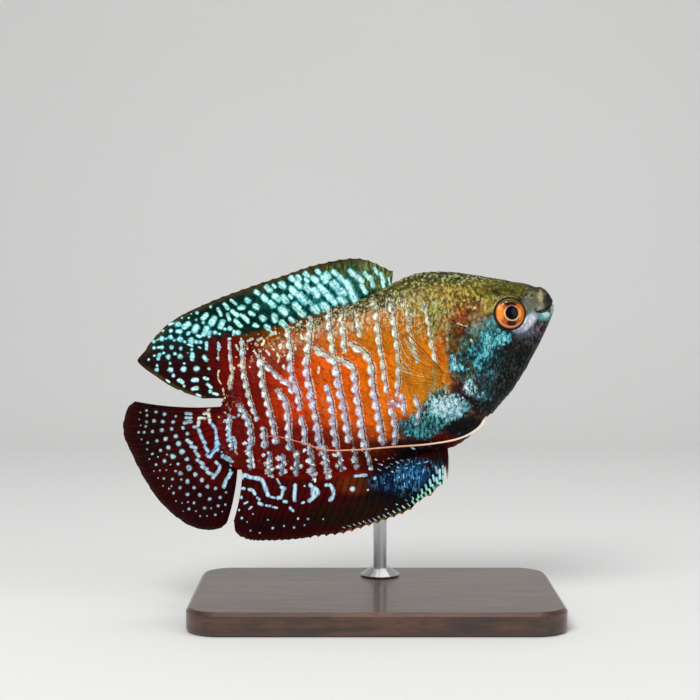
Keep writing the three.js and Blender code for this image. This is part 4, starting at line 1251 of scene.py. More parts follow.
def rimFinish():
    finish = Finish("eyeRim")
    grime = finish.rise(finish.noise(0.0005, 3.0), 0.4, 0.6)
    colour = finish.mix(finish.colour("paint"), "#0f0c0a", grime, 0.5)
    colour = finish.mix(colour, "#1e1710", finish.number("inner"))
    finish.bump(finish.noise(0.00025, 2.0), 0.3, 0.00008)
    finish.set(baseColor=colour, roughness=0.4, specularIorLevel=0.15, coatWeight=0.05, coatRoughness=0.2)
    return finish.material


def makeEyeRim(name, side, material):
    clearSelection()
    bpy.ops.mesh.primitive_torus_add(
        major_radius=eyes["radius"] + eyeRim["out"], minor_radius=eyeRim["thick"],
        major_segments=96, minor_segments=12)
    piece = bpy.context.object
    piece.name = piece.data.name = name
    piece.data.transform(Matrix.Rotation(math.pi / 2, 4, "X") @ Matrix.Diagonal((1, 1, eyeRim["flat"], 1)))
    flat = points(piece) / mm
    ring = np.hypot(flat[:, 0], flat[:, 2]) - skin["eyeRadius"]
    piece.data.transform(Matrix.Translation((0, eyeRim["out"], 0)))
    piece.data.transform(eyeTurn(side))
    crease = bell(ring - 0.26, 0.1) * smoothStep(flat[:, 2], 1.6, 2.6)
    paint = layTints(seen(points(piece)), groundTint, ground)
    paint += (tint(eyeRim["crease"]) - paint) * 0.8 * crease[:, None]
    setPaint(piece, "paint", paint)
    above = smoothStep(flat[:, 2] + 0.37 * flat[:, 0], 1.0, 2.2)
    setNumber(piece, "inner", smoothFall(ring, 0.02, 0.2) * (1 - 0.65 * above))
    closeShell(piece)
    smoothFaces(piece, 70)
    finishPiece(piece, material, "skin")


eyeMaterial, rimMaterial = eyeFinish(), rimFinish()
makeEye("eyeRight", -1, eyeMaterial, "eye_right")
makeEye("eyeLeft", 1, eyeMaterial, "eye_left")
makeEyeRim("eyeRimRight", -1, rimMaterial)
makeEyeRim("eyeRimLeft", 1, rimMaterial)

# Fins. Each guide is a number that the rays are spread over, a ray's root and its tip, and sunk is how
# deep the root is, in mm, from front to rear. Edge is the rim's colour, strength, width and start. The
# marks are in pixels of the camera's frame, as on the body.
dorsal = {
    "rays": 32, "spines": 20, "across": 11, "outward": 84,
    "guides": [
        [0, 40.5, 21.6, 38.5, 25.1], [3, 47.9, 20.8, 46.1, 32], [6, 54.4, 20.7, 57.5, 34.8],
        [9, 62.3, 20.6, 68.5, 35.5], [12, 69.6, 20.4, 80.8, 36.1], [15, 77.7, 19.8, 93, 36.1],
        [17, 83.1, 18.5, 103.2, 34.9], [18, 85.6, 17.6, 108.7, 32.5], [19, 88.2, 16.4, 112.8, 29.9],
        [20, 90.6, 14.9, 115.4, 27.9], [21, 92.8, 13.2, 112.2, 22.3], [22, 94.8, 11.2, 107.6, 16.2],
        [23, 96.6, 9.1, 101.9, 11.4],
    ],
    "sunk": [[0, 0.9], [0.7, 0.9], [0.85, 1.5], [1, 2.6]],
    "bow": 0.03, "wave": (0.5, 1.6, 0.4), "notch": 0.16, "white": 0.75, "edge": ("#463a18", 0.8, 0.5, 140),
    "ground": ("#082019", [
        (290, 300, 64, 28, "#0a2a26", 0.9), (195, 335, 50, 18, "#0b2a26", 0.9),
        (180, 378, 45, 30, "#260305", 0.95), (145, 362, 26, 16, "#220806", 0.9),
        (215, 368, 26, 28, "#2c0404", 0.9), (190, 352, 46, 10, "#231412", 0.7),
        (232, 356, 18, 24, "#340503", 0.9), (211, 352, 5, 20, "#520803", 0.9),
        (225, 362, 4.5, 26, "#5e0c03", 0.9), (237, 350, 5.5, 18, "#6c1003", 0.9),
        (218, 356, 3, 22, "#240310", 0.9), (231, 356, 2.5, 22, "#300608", 0.8),
        (385, 272, 45, 20, "#33441a", 0.9), (354, 277, 22, 18, "#22442a", 0.7),
        (300, 272, 60, 6, "#3a3a18", 0.8), (250, 290, 26, 5, "#3c3416", 0.7),
        (395, 288, 16, 14, "#3c4a1e", 0.85),
    ]),
    "pale": ("#8cd6d0", [
        (190, 345, 50, 22, "#8acfda", 0.7), (200, 380, 40, 18, "#b4dcdc", 0.7),
        (312, 300, 22, 12, "#7cc8d4", 0.8), (346, 288, 18, 16, "#74bccc", 0.85),
        (372, 280, 12, 14, "#86c8ae", 0.8), (296, 316, 26, 7, "#8ccfae", 0.7),
    ]),
    "rim": ("#2a8c88", [(190, 345, 50, 22, "#3f9fae", 0.7), (180, 380, 45, 24, "#57808a", 0.8)]),
    "raysTint": ("#030d0a", [(180, 385, 45, 30, "#1a0405", 0.9), (385, 272, 40, 20, "#2a2f10", 0.9)]),
    "rayStrength": 0.6,
    "halo": [(295, 302, 50, 16, 0.2), (325, 293, 40, 18, 0.5)],
    "shine": ("#8a9c58", [(380, 274, 24, 18, 0.6), (345, 270, 26, 6, 0.35)]),
    "sheathSide": 1, "sheathFade": 22, "flecks": 0.8,
    "sheath": [
        [208, 348], [216, 342], [228, 338], [245, 334], [262, 330], [290, 323], [312, 314], [340, 304],
        [352, 299],
    ],
    "thin": [(385, 272, 34, 18, 0.2)],
    "marks": [
        [1.8, 210.5, 307], [2.2, 196.8, 313], [1, 191, 314], [1.4, 181.5, 318], [1.4, 188.5, 318],
        [1.6, 196, 320], [2, 203, 322.5], [1.5, 168.5, 325, 172, 323.5], [3, 177.5, 324.5],
        [3, 184, 327, 188, 324], [3.4, 194.5, 330.5, 196.5, 327], [3, 204, 334, 206.5, 328],
        [1.6, 209, 337, 209.5, 332], [2.9, 203, 318, 206.5, 315], [3.3, 211, 324, 214, 318.5],
        [3, 220.5, 327, 222.5, 321.5], [2.4, 215, 332.5], [1.5, 219.5, 334], [2, 218, 309, 221, 315],
        [2.2, 224.5, 304, 228, 308.5], [2.6, 232, 311, 237, 315], [2, 227.5, 314.5, 229.5, 319.5],
        [2.8, 240, 307.5, 243, 307.5], [2.4, 235.5, 320.5, 240.5, 326], [2, 241, 314.5, 248, 322],
        [2.8, 230, 328.5], [1.4, 233, 335, 234, 331], [2.9, 238, 332.5], [1.8, 225, 329],
        [1.6, 231, 300, 236, 304], [1.4, 157, 333], [1.7, 162.5, 331], [2.2, 170, 331],
        [2.4, 177, 331.5, 180, 331.5], [2.4, 188, 333.5], [1.7, 197, 335.5, 200, 337], [2, 153, 341.5],
        [1.4, 157, 340], [2.8, 161.5, 339], [1.6, 165.5, 339], [2.7, 170, 337.5], [1.4, 174, 340.5],
        [3.3, 180, 339.5], [1.8, 184.5, 342], [3.7, 191, 340.5], [2.4, 196, 342], [2, 200.5, 342],
        [1.2, 188, 344.5, 192, 346], [2, 153.5, 348], [1.6, 158, 347.5], [2.3, 161.5, 347.5],
        [2.4, 171, 347.5], [2.2, 180.5, 348.5], [1.6, 191.5, 349.5], [1.1, 198.5, 347, 200.5, 348],
        [1.8, 206.3, 343, 206.5, 349], [1.6, 148.5, 359.5], [1.5, 154, 356], [2, 158, 359, 159, 355],
        [1.7, 163.5, 353], [2.7, 168, 357], [2, 174.5, 353.5], [2.8, 180, 356.5], [1, 187.5, 353],
        [2.5, 192, 359, 192.5, 354.5], [2.2, 204, 357, 206.5, 360], [1.5, 217.5, 358], [1.6, 157, 365.5],
        [1.7, 170, 363.5], [1.5, 184, 363.5], [2.3, 156.5, 370], [3, 170.5, 370], [3.2, 183.5, 369],
        [3.2, 196.5, 368.5], [1.8, 209, 368.5], [2, 173.5, 375.5], [1.2, 166.5, 380, 169.5, 382],
        [2.2, 179, 380.5, 182.5, 382], [2.3, 193, 380, 197, 380], [1.8, 204.5, 378, 207.5, 379],
        [1.6, 184, 386], [2.3, 193, 389, 197, 388], [1.8, 207.5, 384, 211, 387.5],
        [0.9, 178.5, 390.5, 182.5, 391.8], [1.4, 197, 394.5, 200.5, 396], [2, 210.5, 391.5],
        [1.6, 213.5, 393.5, 218, 394.5], [3.2, 247, 300, 248.5, 301], [3.13, 256, 292, 257.5, 293],
        [3.37, 266.6, 287.3, 269.9, 290.2], [3.63, 281.1, 283.7, 283.4, 286.1],
        [3.16, 291, 277.9, 293, 280.1], [2.81, 297.5, 276.9, 299.5, 279.1],
        [2.81, 305.5, 273.6, 307.7, 275.8], [2.57, 317.1, 270.9, 319.2, 273.1],
        [3.5, 326.3, 274.4, 328.5, 276.8], [3.51, 313.7, 278.4, 316.3, 281.1],
        [3.9, 323.3, 277.9, 325.7, 280.8], [3.51, 297, 283.2, 299.5, 286.1],
        [3.59, 263.5, 297, 265.5, 299.4], [3.32, 255.6, 306, 257, 307.4], [3, 241.5, 307, 243, 307.6],
        [3.5, 274.2, 295.3, 278.4, 299.1], [3.39, 270.6, 302.9, 273.2, 305.6],
        [3.74, 283, 297.4, 286, 300.6], [3.63, 291.3, 288.8, 294.1, 292.2],
        [3.63, 305.9, 286.4, 308.7, 290], [4.21, 314.4, 290.3, 316.8, 295.1],
        [4.68, 282.3, 309.6, 285.1, 312.4], [4.21, 299.3, 295, 304.5, 301.2],
        [2.5, 250, 312.6, 253.4, 314.6], [2.4, 243.8, 316.4, 247.4, 320], [2.6, 254.6, 325, 256.6, 326],
        [3.23, 262, 317.4, 263.4, 319], [3.39, 274.1, 316.1, 274.9, 320.5],
        [2.93, 266.4, 326.4, 268.4, 328.4], [3.4, 281.6, 322.4, 284, 324.8],
        [3.87, 294.9, 304.6, 297.9, 308.2], [3.51, 300.4, 312.5, 303.4, 314.7],
        [4.57, 314.4, 307.9, 316.8, 310.3], [4.6, 323.3, 305.6, 325.9, 307.2],
        [4.2, 320, 287.2, 327, 294.4], [4.2, 328.2, 295.8, 334.4, 302.2], [4.5, 333.3, 283.4, 335.9, 286],
        [4, 340.2, 298.7, 343.6, 301.5], [4.6, 346.6, 282.9, 350.6, 290.1],
        [4.6, 350.8, 291.9, 354.8, 298.9], [2.57, 290.4, 318.7, 293, 321.1], [3.3, 350.2, 271, 354.4, 275],
        [3.2, 357, 276.8, 361.8, 281.4], [3.3, 339.7, 277.2, 343.3, 281.6],
        [2.7, 333.9, 271.6, 336.9, 274.6], [2.9, 341.9, 289.8, 344.7, 294],
        [2.7, 361.1, 285.3, 365.9, 292.5], [2.6, 370.5, 277.3, 373.1, 286.1],
        [2.4, 381.1, 274.3, 383.9, 282.1], [2, 382.1, 282.3, 384.1, 287.3],
        [2.11, 305.5, 279, 307.5, 281.2], [1.85, 273.1, 285, 275.1, 287],
        [2.11, 289.5, 295.4, 291.3, 297.4], [1.99, 309.1, 301.4, 311.1, 303.6],
        [2.7, 337.9, 291, 340.3, 293.6], [2.6, 364.7, 272.9, 368.5, 278.1], [1.2, 388.6, 278, 390, 285],
        [2, 374.7, 268.5, 377.5, 273.7],
    ],
}
anal = {
    "rays": 31, "spines": 16, "across": 11, "outward": 64,
    "guides": [
        [0, 42.8, -27.4, 46, -35.7], [1, 44.3, -27.3, 48.1, -36.7], [2, 45.9, -27, 52.2, -38.4],
        [3, 47.7, -26.6, 55.7, -38.8], [4, 49.8, -26.4, 58.9, -40], [6, 53.6, -25.9, 64.2, -40.2],
        [9, 59.7, -25, 71.6, -39.8], [12, 65.9, -23.7, 79.3, -39.2], [15, 72.1, -22.5, 86.3, -37.5],
        [18, 78.2, -21.1, 92.6, -35.9], [21, 84.2, -19.3, 98.3, -34.1], [24, 89.8, -17.1, 102.8, -32.3],
        [27, 95.1, -14.5, 105.7, -30.5], [28, 96.9, -13.5, 107, -29.1], [29, 98.4, -12.6, 107.6, -27.1],
        [30, 99.7, -11.8, 106.9, -24.3],
    ],
    "sunk": [[0, 0.8], [0.7, 0.8], [1, 1.6]],
    "bow": -0.05, "wave": (0.5, 1.4, 2.0), "notch": 0.4, "freeFirst": 2.6, "white": 0.5,
    "ground": ("#300403", [
        (290, 488, 66, 14, "#480607", 0.8), (250, 500, 24, 16, "#3a0507", 0.7),
        (300, 506, 60, 10, "#3a0206", 0.8), (356, 484, 22, 11, "#6a2a0a", 0.85),
        (335, 516, 34, 12, "#1a0f06", 0.85), (380, 505, 34, 14, "#1a1208", 0.8),
        (400, 480, 40, 26, "#07080f", 0.95), (418, 490, 20, 18, "#050608", 0.95),
        (392, 482, 18, 12, "#0c1a3c", 0.7), (413, 474, 15, 13, "#12406a", 0.9),
        (417, 473, 4, 4, "#0a2658", 0.8), (440, 472, 9, 20, "#0b1413", 0.85),
        (440, 487, 5, 4, "#4c5a1c", 0.8), (270, 525, 44, 8, "#22070a", 0.8),
    ]),
    "edge": ("#9a5a18", 0.9, 0.18, 335),
    "pale": ("#a9cbdc", [
        (425, 495, 40, 24, "#9ad8c2", 0.95), (408, 472, 30, 17, "#5ea8e0", 0.95),
        (370, 520, 34, 12, "#7fc4a8", 0.9), (353, 489, 8, 8, "#c4ccb0", 0.8),
    ]),
    "rim": ("#3f6f92", [(425, 495, 40, 24, "#2f9482", 0.95), (412, 474, 20, 15, "#2468c0", 0.9)]),
    "raysTint": ("#120204", [(400, 490, 55, 40, "#030405", 0.9), (449, 466, 2.6, 22, "#d8ecc4", 1.0)]),
    "rayStrength": 0.55,
    "shine": ("#4a8ab0", [
        (408, 478, 16, 18, 0.75), (422, 468, 14, 9, 0.6), (385, 482, 18, 8, 0.35), (440, 478, 7, 16, 0.4),
    ]),
    "sheathSide": -1, "sheathFade": 8,
    "sheath": [[230, 480], [250, 474], [262, 478], [320, 480], [372, 474], [385, 466], [400, 462]],
    "marks": [
        [2.3, 240, 480, 244, 475, 250, 477, 258, 478.5, 262, 480, 264.5, 485, 266, 490, 268, 495],
        [1.2, 270, 496.5, 275, 498], [1.6, 241, 488.5, 244, 488.5], [1.8, 249, 489.5, 252, 490, 255, 494],
        [1.2, 257, 497.5, 259.5, 499.5], [1.8, 258.5, 503, 262, 504.5], [1.3, 266, 505.5, 270, 506],
        [1.2, 273, 507, 277, 508], [1.6, 290, 508, 293, 511], [1, 277, 479, 280, 484],
        [2, 281, 487, 285, 488.5], [1.8, 283, 490, 282, 496], [2, 278, 498, 281, 497.5],
        [1.6, 284, 501.5, 287, 502], [2.2, 295, 485, 294.5, 500], [1.2, 304.5, 486],
        [1.4, 302, 503, 304, 502.5], [2.2, 310, 485, 318, 492, 309, 501], [2.6, 313, 489, 313, 494],
        [2, 326, 485, 330, 485, 333, 490, 333, 496, 330, 500], [2.4, 331, 499], [3, 353, 489],
        [1.7, 355, 476, 366, 475], [2, 375, 478], [1.4, 368, 490], [2, 241, 497.5],
        [1.1, 244.5, 503.5, 247.5, 502], [1.3, 239, 510], [1.1, 249, 509, 251.5, 507], [1, 253, 514],
        [1.4, 241.5, 518], [1, 247, 522], [1.2, 250.5, 530.5], [1.3, 259.5, 533], [1.6, 272.5, 528.5],
        [1.3, 284, 526.5], [1.5, 294, 528], [1.3, 304.5, 525.5], [1.2, 268, 520], [1.5, 298, 519],
        [1.4, 308, 519], [1.2, 323, 519], [0.6, 416, 463.8, 421, 463], [0.7, 424, 462.6, 428, 461.4],
        [0.7, 403.6, 474, 403.8, 479], [0.6, 404.4, 483, 405, 487], [0.6, 409, 474.4, 410, 476],
        [0.6, 415, 472, 416.2, 474], [0.7, 423.4, 469, 423, 473], [0.6, 405, 468.4, 407.6, 467.8],
        [0.6, 412.4, 466.2, 414.6, 466.8], [0.6, 396, 470, 396.8, 472], [0.6, 388, 474, 389.2, 475.4],
        [0.7, 413.4, 477, 413.8, 479], [0.6, 419, 476, 419.4, 478.6], [0.6, 399, 476, 399.2, 478],
        [0.6, 394, 479, 394.6, 481], [0.6, 409, 481, 409.2, 483.4], [0.6, 384, 482, 385, 483.4],
        [1.2, 436, 467, 436.8, 473], [1.4, 439.6, 470, 440.2, 479], [1, 442.8, 466, 443.2, 473],
        [1.3, 443, 476, 443.6, 483], [1.1, 445.4, 471, 445.2, 479], [1.3, 436.4, 478, 438, 484],
        [1, 440.2, 483, 441.2, 488], [1.2, 432.8, 475, 434.2, 481], [1.2, 432.6, 485, 434.2, 489.6],
        [1.3, 429.6, 480, 430.8, 486], [0.9, 436.6, 488, 437.6, 491.6], [1.2, 429.2, 489.6, 430.8, 494],
        [1.2, 425.6, 485, 426.8, 490], [1.2, 425.2, 493, 427.2, 497], [1, 421.6, 489.4, 422.6, 493.6],
        [1.2, 421.2, 495.6, 423.2, 499], [0.9, 417.8, 494.4, 418.8, 497.6], [1.1, 416.6, 499, 418.8, 501.6],
        [1, 412, 501.2, 414.4, 503.6], [0.8, 412.4, 497, 413.4, 499.4], [0.8, 407.2, 503.4, 410, 506],
        [0.8, 402.4, 506, 405, 508.4], [0.8, 397.6, 508.4, 400.4, 510.6], [0.8, 392.8, 510.8, 395.4, 513],
        [0.8, 388, 513, 390.8, 515.2], [0.8, 383, 514.8, 386, 517], [0.8, 378.2, 516.6, 381, 518.8],
        [0.8, 373.2, 518.4, 376, 520.4], [0.7, 368.4, 519.8, 371, 521.8], [0.7, 363.4, 521.2, 366, 523],
        [0.7, 358.4, 522.6, 361, 524.4], [0.7, 353.2, 524, 356, 525.6], [0.7, 347.8, 525.4, 350.6, 526.8],
        [0.6, 342.4, 526.8, 345, 528], [0.6, 405, 500, 407.6, 500.6], [0.6, 396, 504, 398, 505],
        [0.6, 385, 509, 387, 509.6],
    ],
}
tail = {
    "rays": 15, "spines": 0, "across": 18, "outward": 84,
    "guides": [
        [0, 97.6, 7.5, 120.4, 17.8], [1, 98.6, 6.6, 123.1, 16.9], [2, 99.4, 5.4, 126, 13.2],
        [3, 100, 4.1, 127.2, 9.4], [4, 100.7, 2.8, 127, 5.7], [6, 101.7, -0.4, 126.2, -2.3],
        [8, 102.2, -3.9, 124.1, -11.6], [10, 102, -7, 119.9, -20], [11, 101.7, -8.3, 117, -22.8],
        [12, 101.4, -9.5, 114, -24.5], [13, 101.1, -10.4, 111.2, -25], [14, 100.8, -11.2, 109.1, -24.3],
    ],
    "sunk": [[0, 1.2], [1, 1.2]],
    "bow": -0.04, "wave": (0.9, 1.2, 0.8), "notch": 0.18, "white": 0.25,
    "ground": ("#280302", [
        (205, 436, 20, 30, "#5e0604", 0.9), (175, 450, 26, 40, "#340403", 0.8),
        (150, 430, 16, 40, "#180305", 0.8), (205, 510, 34, 16, "#26040a", 0.8),
        (212, 475, 16, 14, "#4a0406", 0.8),
    ]),
    "pale": ("#93b2be", [
        (216, 440, 12, 22, "#8cc4ec", 0.9), (148, 430, 14, 34, "#7f9490", 0.85),
        (165, 490, 22, 20, "#84989a", 0.8), (200, 512, 34, 10, "#84989a", 0.8),
        (205, 417, 12, 8, "#dcd6b8", 0.9), (218, 434, 6, 10, "#c6dcea", 0.6),
    ]),
    "rim": ("#56727e", [(216, 440, 12, 22, "#3f7fb0", 0.9), (178, 450, 14, 16, "#4f8a94", 0.7)]),
    "raysTint": ("#160203", []),
    "rayStrength": 0.5,
    "marks": [
        [1.55, 146, 411], [1.8, 155.5, 412.5], [2.2, 164, 414.5], [1.35, 146, 416], [1.5, 175.5, 416.5],
        [2, 153.5, 421.5], [2.2, 162.5, 422], [2, 173, 422.5], [1.55, 146, 422.5], [1.8, 152, 431.8],
        [2.4, 161.5, 430.5], [1.8, 171.5, 429], [1.55, 143.5, 432.5], [1.35, 138, 433], [1.35, 145, 427],
        [1.5, 147.5, 443], [1.9, 156.5, 441], [2.4, 165.5, 439], [2.4, 175.5, 436.5], [2.7, 178.5, 443.5],
        [2.3, 168.5, 447.5], [1.8, 160.5, 450.5], [1.55, 152.5, 454], [3, 182, 451.5], [2.8, 173, 456.5],
        [2.1, 164.5, 461], [1.5, 156, 464.5], [2.3, 187, 459], [1.6, 178, 464], [1.5, 175.5, 471],
        [3, 189, 468], [2.4, 180.5, 473.5], [1.6, 172.5, 479], [1.55, 164, 478.5], [1.35, 181.5, 479.5],
        [2.3, 195.5, 474.5], [2.5, 187.5, 481.5], [1.9, 180, 487.5], [1.6, 173.5, 493], [1.15, 169, 488.5],
        [2.4, 202, 480], [1.8, 194, 487.5], [1.8, 187.5, 494.5], [2.1, 207.5, 486.5], [2, 200, 495],
        [1.6, 194, 503], [1.55, 189, 509], [1.9, 215.5, 488.5], [2, 209.5, 499], [1.7, 204.5, 508],
        [1.15, 200, 516], [1.7, 220, 497.5], [1.6, 218, 506], [1.45, 215, 515], [1.35, 225, 505],
        [1.35, 226, 492.5], [2, 183, 428], [2, 187.5, 434], [1.7, 186, 413.5, 191, 414],
        [1.6, 186, 418, 191, 418], [1.9, 184, 423, 191, 421.5], [1.9, 187, 440, 191, 443],
        [1.9, 191, 446, 196, 448], [1.8, 195, 451, 199, 456.5], [1.9, 197, 460, 203, 464],
        [1.9, 202, 467, 207, 469], [1.9, 207, 472, 212, 474],
        [1.8, 216, 462, 219.5, 466, 219, 470, 216, 474, 213, 478],
        [1.8, 204, 413.5, 208, 413, 209, 416, 210, 423], [1.7, 199, 418, 205, 418.5],
        [1.9, 199, 419, 198, 426], [1.8, 194, 427, 197, 427.5],
        [1.9, 199, 430, 201, 436, 203, 440, 205, 443], [1.8, 205, 447, 208, 451],
        [1.8, 207, 455, 210, 457, 213, 452, 216, 449], [2.6, 217, 430, 217, 449],
        [1.7, 212, 424, 215, 428, 219, 432, 222, 437, 220, 444], [1.9, 222, 422, 227, 423],
        [1.9, 229, 419, 234, 421], [1.6, 230, 427], [2.6, 229, 434, 231, 440, 228, 440],
        [1.8, 231, 444, 235, 447], [2.4, 223, 456, 228, 459, 233, 462], [1.55, 231, 465], [1.35, 230, 470],
        [1.8, 231, 473, 229, 476, 226, 480, 224, 487], [1.05, 140, 426], [0.95, 141, 440],
        [1.05, 147, 449.5], [0.95, 149.5, 459], [0.95, 154, 471], [1.05, 160, 470.5], [0.95, 158, 478],
        [1.05, 166.5, 470], [0.95, 163, 486], [1.05, 171.5, 486], [0.95, 176, 501], [1.05, 182, 503],
        [1.05, 188, 502], [0.95, 183, 511], [1.05, 196, 511], [0.95, 207, 516], [1.05, 211, 508],
        [0.95, 222, 512], [1.05, 167, 454.5], [0.95, 158, 457], [1.05, 170.5, 464.5], [0.95, 138, 420],
        [0.95, 139.5, 413],
    ],
}
pectoral = {
    "rays": 18, "spines": 1, "across": 10, "outward": 52,
    "guides": [
        [0, 35.2, -9.5, 41.8, 8.5], [1, 35.3, -9.8, 44, 7.9], [2, 35.4, -10.1, 46, 6.2],
        [3, 35.5, -10.3, 47.6, 4.1], [4, 35.6, -10.5, 48.8, 1.8], [6, 35.8, -10.9, 49.8, -3.3],
        [8, 36.1, -11.4, 48.6, -8.2], [9, 36.3, -11.7, 46.2, -10.3],
    ],
    "sunk": [[0, 0.8], [1, 0.8]],
    "bow": 0.02, "splay": 0.34, "cupping": 0.9, "notch": 0.12, "white": 0.3,
    "ground": ("#b98a4c", [(445, 375, 12, 12, "#a8602a", 0.8)]),
    "raysTint": ("#5c2408", [(445, 372, 12, 14, "#2a160a", 0.9)]),
    "rayStrength": 0.9, "clear": True,
    "pale": ("#c9c394", []),
    "rim": ("#8a5a24", []),
    "marks": [
        [0.85, 399, 338, 403, 350, 411, 362], [0.75, 404, 338, 409, 349, 417, 361],
        [0.85, 396, 347, 401, 358, 410, 369], [0.75, 409, 343, 414, 352, 420, 361],
        [0.75, 395, 356, 400, 364, 407, 371], [0.5, 402, 372, 412, 375, 424, 377],
        [0.7, 398, 366, 404, 371, 412, 374], [0.6, 406.6, 341, 411.4, 351, 418.6, 361.4],
    ],
}
# The most that a fin is thick, and its sheet's and rays' shares of that
finMake = {"thickness": 0.8 * mm, "membrane": 0.16, "ray": 0.5, "rayTip": 0.22}


# A fin's middle sheet, with where each point is on it
def finSheet(fin, outAt):
    last = fin["rays"] - 1
    level, ray = np.meshgrid(
        np.linspace(0, 1, fin["outward"] + 1), np.linspace(0, last, last * fin["across"] + 1), indexing="ij")
    guide = curveThrough(fin["guides"])(ray / last * fin["guides"][-1][0])
    root, reach = guide[..., :2], guide[..., 2:] - guide[..., :2]
    span = np.hypot(reach[..., 0], reach[..., 1]) * percent / mm
    start = -curveThrough(fin["sunk"])(ray / last) / span
    # the sheet ends short of the rays' tips, and soft rays are frayed
    between = np.abs(np.sin(math.pi * ray)) ** 0.8
    frayed = 0.1 * scatter(np.rint(ray * 4), 7.0) * smoothStep(ray, fin["spines"] - 1, fin["spines"] + 1)
    depth = np.where(ray < 1, fin.get("freeFirst", fin["notch"]), fin["notch"])
    depth = depth * np.where(ray < fin["spines"], 1.0, 0.45)
    end = 1 - (depth * between + frayed) / span
    way = start + (end - start) * level
    bow = fin["bow"] * 4 * level * (1 - level)
    along = root[..., 0] + reach[..., 0] * way - reach[..., 1] * bow
    up = root[..., 1] + reach[..., 1] * way + reach[..., 0] * bow
    places = world(along, up, outAt(ray, level, span) * mm / percent)
    gap = np.linalg.norm(np.gradient(places, axis=1), axis=-1) * fin["across"] / mm
    return {"places": places, "ray": ray, "level": level, "gap": gap, "toEdge": (end - way) * span}


# How much of a ray is at a place: 1 on its middle line; soft rays fork towards their tips
def rayShare(fin, ray, level, gap, branch=0.42):
    nearest = np.rint(ray)
    soft = nearest >= fin["spines"]
    fork = 0.24 * smoothStep(level, branch, 1.0) * soft
    width = np.where(soft, 0.11, 0.13) * (1.15 - 0.5 * level)
    return bell(np.abs(np.abs(ray - nearest) - fork) * gap, width)


# How far out from the middle a fin's places are, in mm
def middleWave(fin):
    height, count, start = fin["wave"]
    turn = 2 * math.pi * count / fin["rays"]
    return lambda ray, level, span: height * level**2 * np.sin(turn * ray + start)


def pectoralLean(side):
    rootOut = flankAt(*pectoral["guides"][0][1:3]) / mm - 0.9
    splay, cupping = pectoral["splay"], pectoral["cupping"]
    return lambda ray, level, span: side * (rootOut + splay * span * level + cupping * level**2)


# A fin's pale marks: each has a darker rim, white sparks and, in places, a halo
def marksOver(finish, colour, ray, whiteness):
    rimTint, glitter = finish.colour("rimTint"), finish.noise(0.00045, 3.0, 0.6)
    field = finish.plus(finish.number("marks"), finish.minus(finish.noise(0.0006, 2.0), 0.5))
    halo = finish.times(finish.fall(field, 1.2, 3.0), finish.number("halo"))
    haze = finish.rise(finish.noise(0.0006, 3.0, 0.6, (1.4, 1, 0.8)), 0.44, 0.58)
    colour = finish.mix(colour, rimTint, halo, haze)
    colour = finish.mix(colour, rimTint, finish.fall(field, 0.85, 1.2), 0.75)
    pale = finish.mix(finish.colour("paleTint"), rimTint, finish.rise(glitter, 0.52, 0.64), 0.45)
    white = finish.times(finish.fall(field, 0.3, 0.9), finish.fall(glitter, 0.46, 0.62))
    pale = finish.mix(pale, "#dcfaf6", white, whiteness)
    return finish.mix(colour, pale, finish.fall(field, 0.55, 1.02), finish.scaled(ray, -0.55, 1.0))


def finFinish(name, fin):
    finish = Finish(name)
    ray = finish.number("ray")
    cloud = finish.rise(finish.noise(0.0014, 3.0, 0.6), 0.35, 0.7)
    colour = finish.mix(finish.colour("paint"), "#000000", cloud, 0.34)
    colour = finish.mix(colour, finish.colour("rayTint"), ray, fin["rayStrength"])
    if "shine" in fin:
        spark = finish.rise(finish.noise(0.0006, 3.0, 0.6, (1.6, 1, 0.6)), 0.48, 0.6)
        colour = finish.mix(colour, fin["shine"][0], spark, finish.number("shine"))
    colour = marksOver(finish, colour, ray, fin["white"])
    if "sheath" in fin:
        colour = stripesOver(finish, colour, finish.number("sheath"))
    elif "clear" not in fin:
        colour = strokesOver(finish, colour)
    joints = finish.bands(finish.unwrap("OFBake"), 14.0, 0.6, "Y")
    finish.bump(finish.plus(finish.times(joints, ray), finish.noise(0.0003, 2.0)), 0.25, 0.00005)
    finish.set(baseColor=colour, alpha=finish.number("cover"), roughness=0.55, specularIorLevel=0.03,
               coatWeight=0.01, coatRoughness=0.3)
    return finish.material


# How far the body's colours and stripes run on over a fin's root
def sheathShare(fin, place):
    x, y = place
    edgeX, edgeY = np.array(fin["sheath"]).T
    below = (y - np.interp(x, edgeX, edgeY)) * fin["sheathSide"]
    ends = smoothStep(x, edgeX[0], edgeX[0] + fin["sheathFade"]) * smoothFall(x, edgeX[-1] - 8, edgeX[-1])
    return smoothStep(below, -2, 3) * ends


# How thick a fin is, as shares of the most
def finThickness(level, share):
    crest = finMake["ray"] + (finMake["rayTip"] - finMake["ray"]) * level
    thick = finMake["membrane"] * (1 - 0.4 * level) + crest * share
    thick = thick + (1 - thick) * smoothFall(level, 0.0, 0.14)
    return np.clip(thick * (1 - 0.5 * smoothStep(level, 0.96, 1.0)), 0.05, 1)


# How little a fin lets through: only a clear fin shows much between its rays
def finCover(fin, place, ray, level, share):
    if "clear" in fin:
        strength = 0.12 + 0.5 * scatter(np.rint(ray), 3.0) ** 2 + 0.2 * smoothFall(ray, 2, 6)
        cover = 0.015 + strength * share * (1 - 0.6 * level) + 0.5 * smoothFall(level, 0.02, 0.1)
        cover = np.maximum(cover, 0.85 * bell(ray, 0.3))
        return np.clip(np.maximum(cover, 0.55 * smoothFall(fromMarks(place, fin["marks"]), 0.3, 1.8)), 0, 1)
    thin = layAmounts(place, fin.get("thin", [])) * smoothStep(level, 0.2, 0.5)
    thin = np.maximum(thin, 0.12 * smoothStep(level, 0.9, 1.0))
    return np.clip(1 - thin * (1 - share), 0, 1)


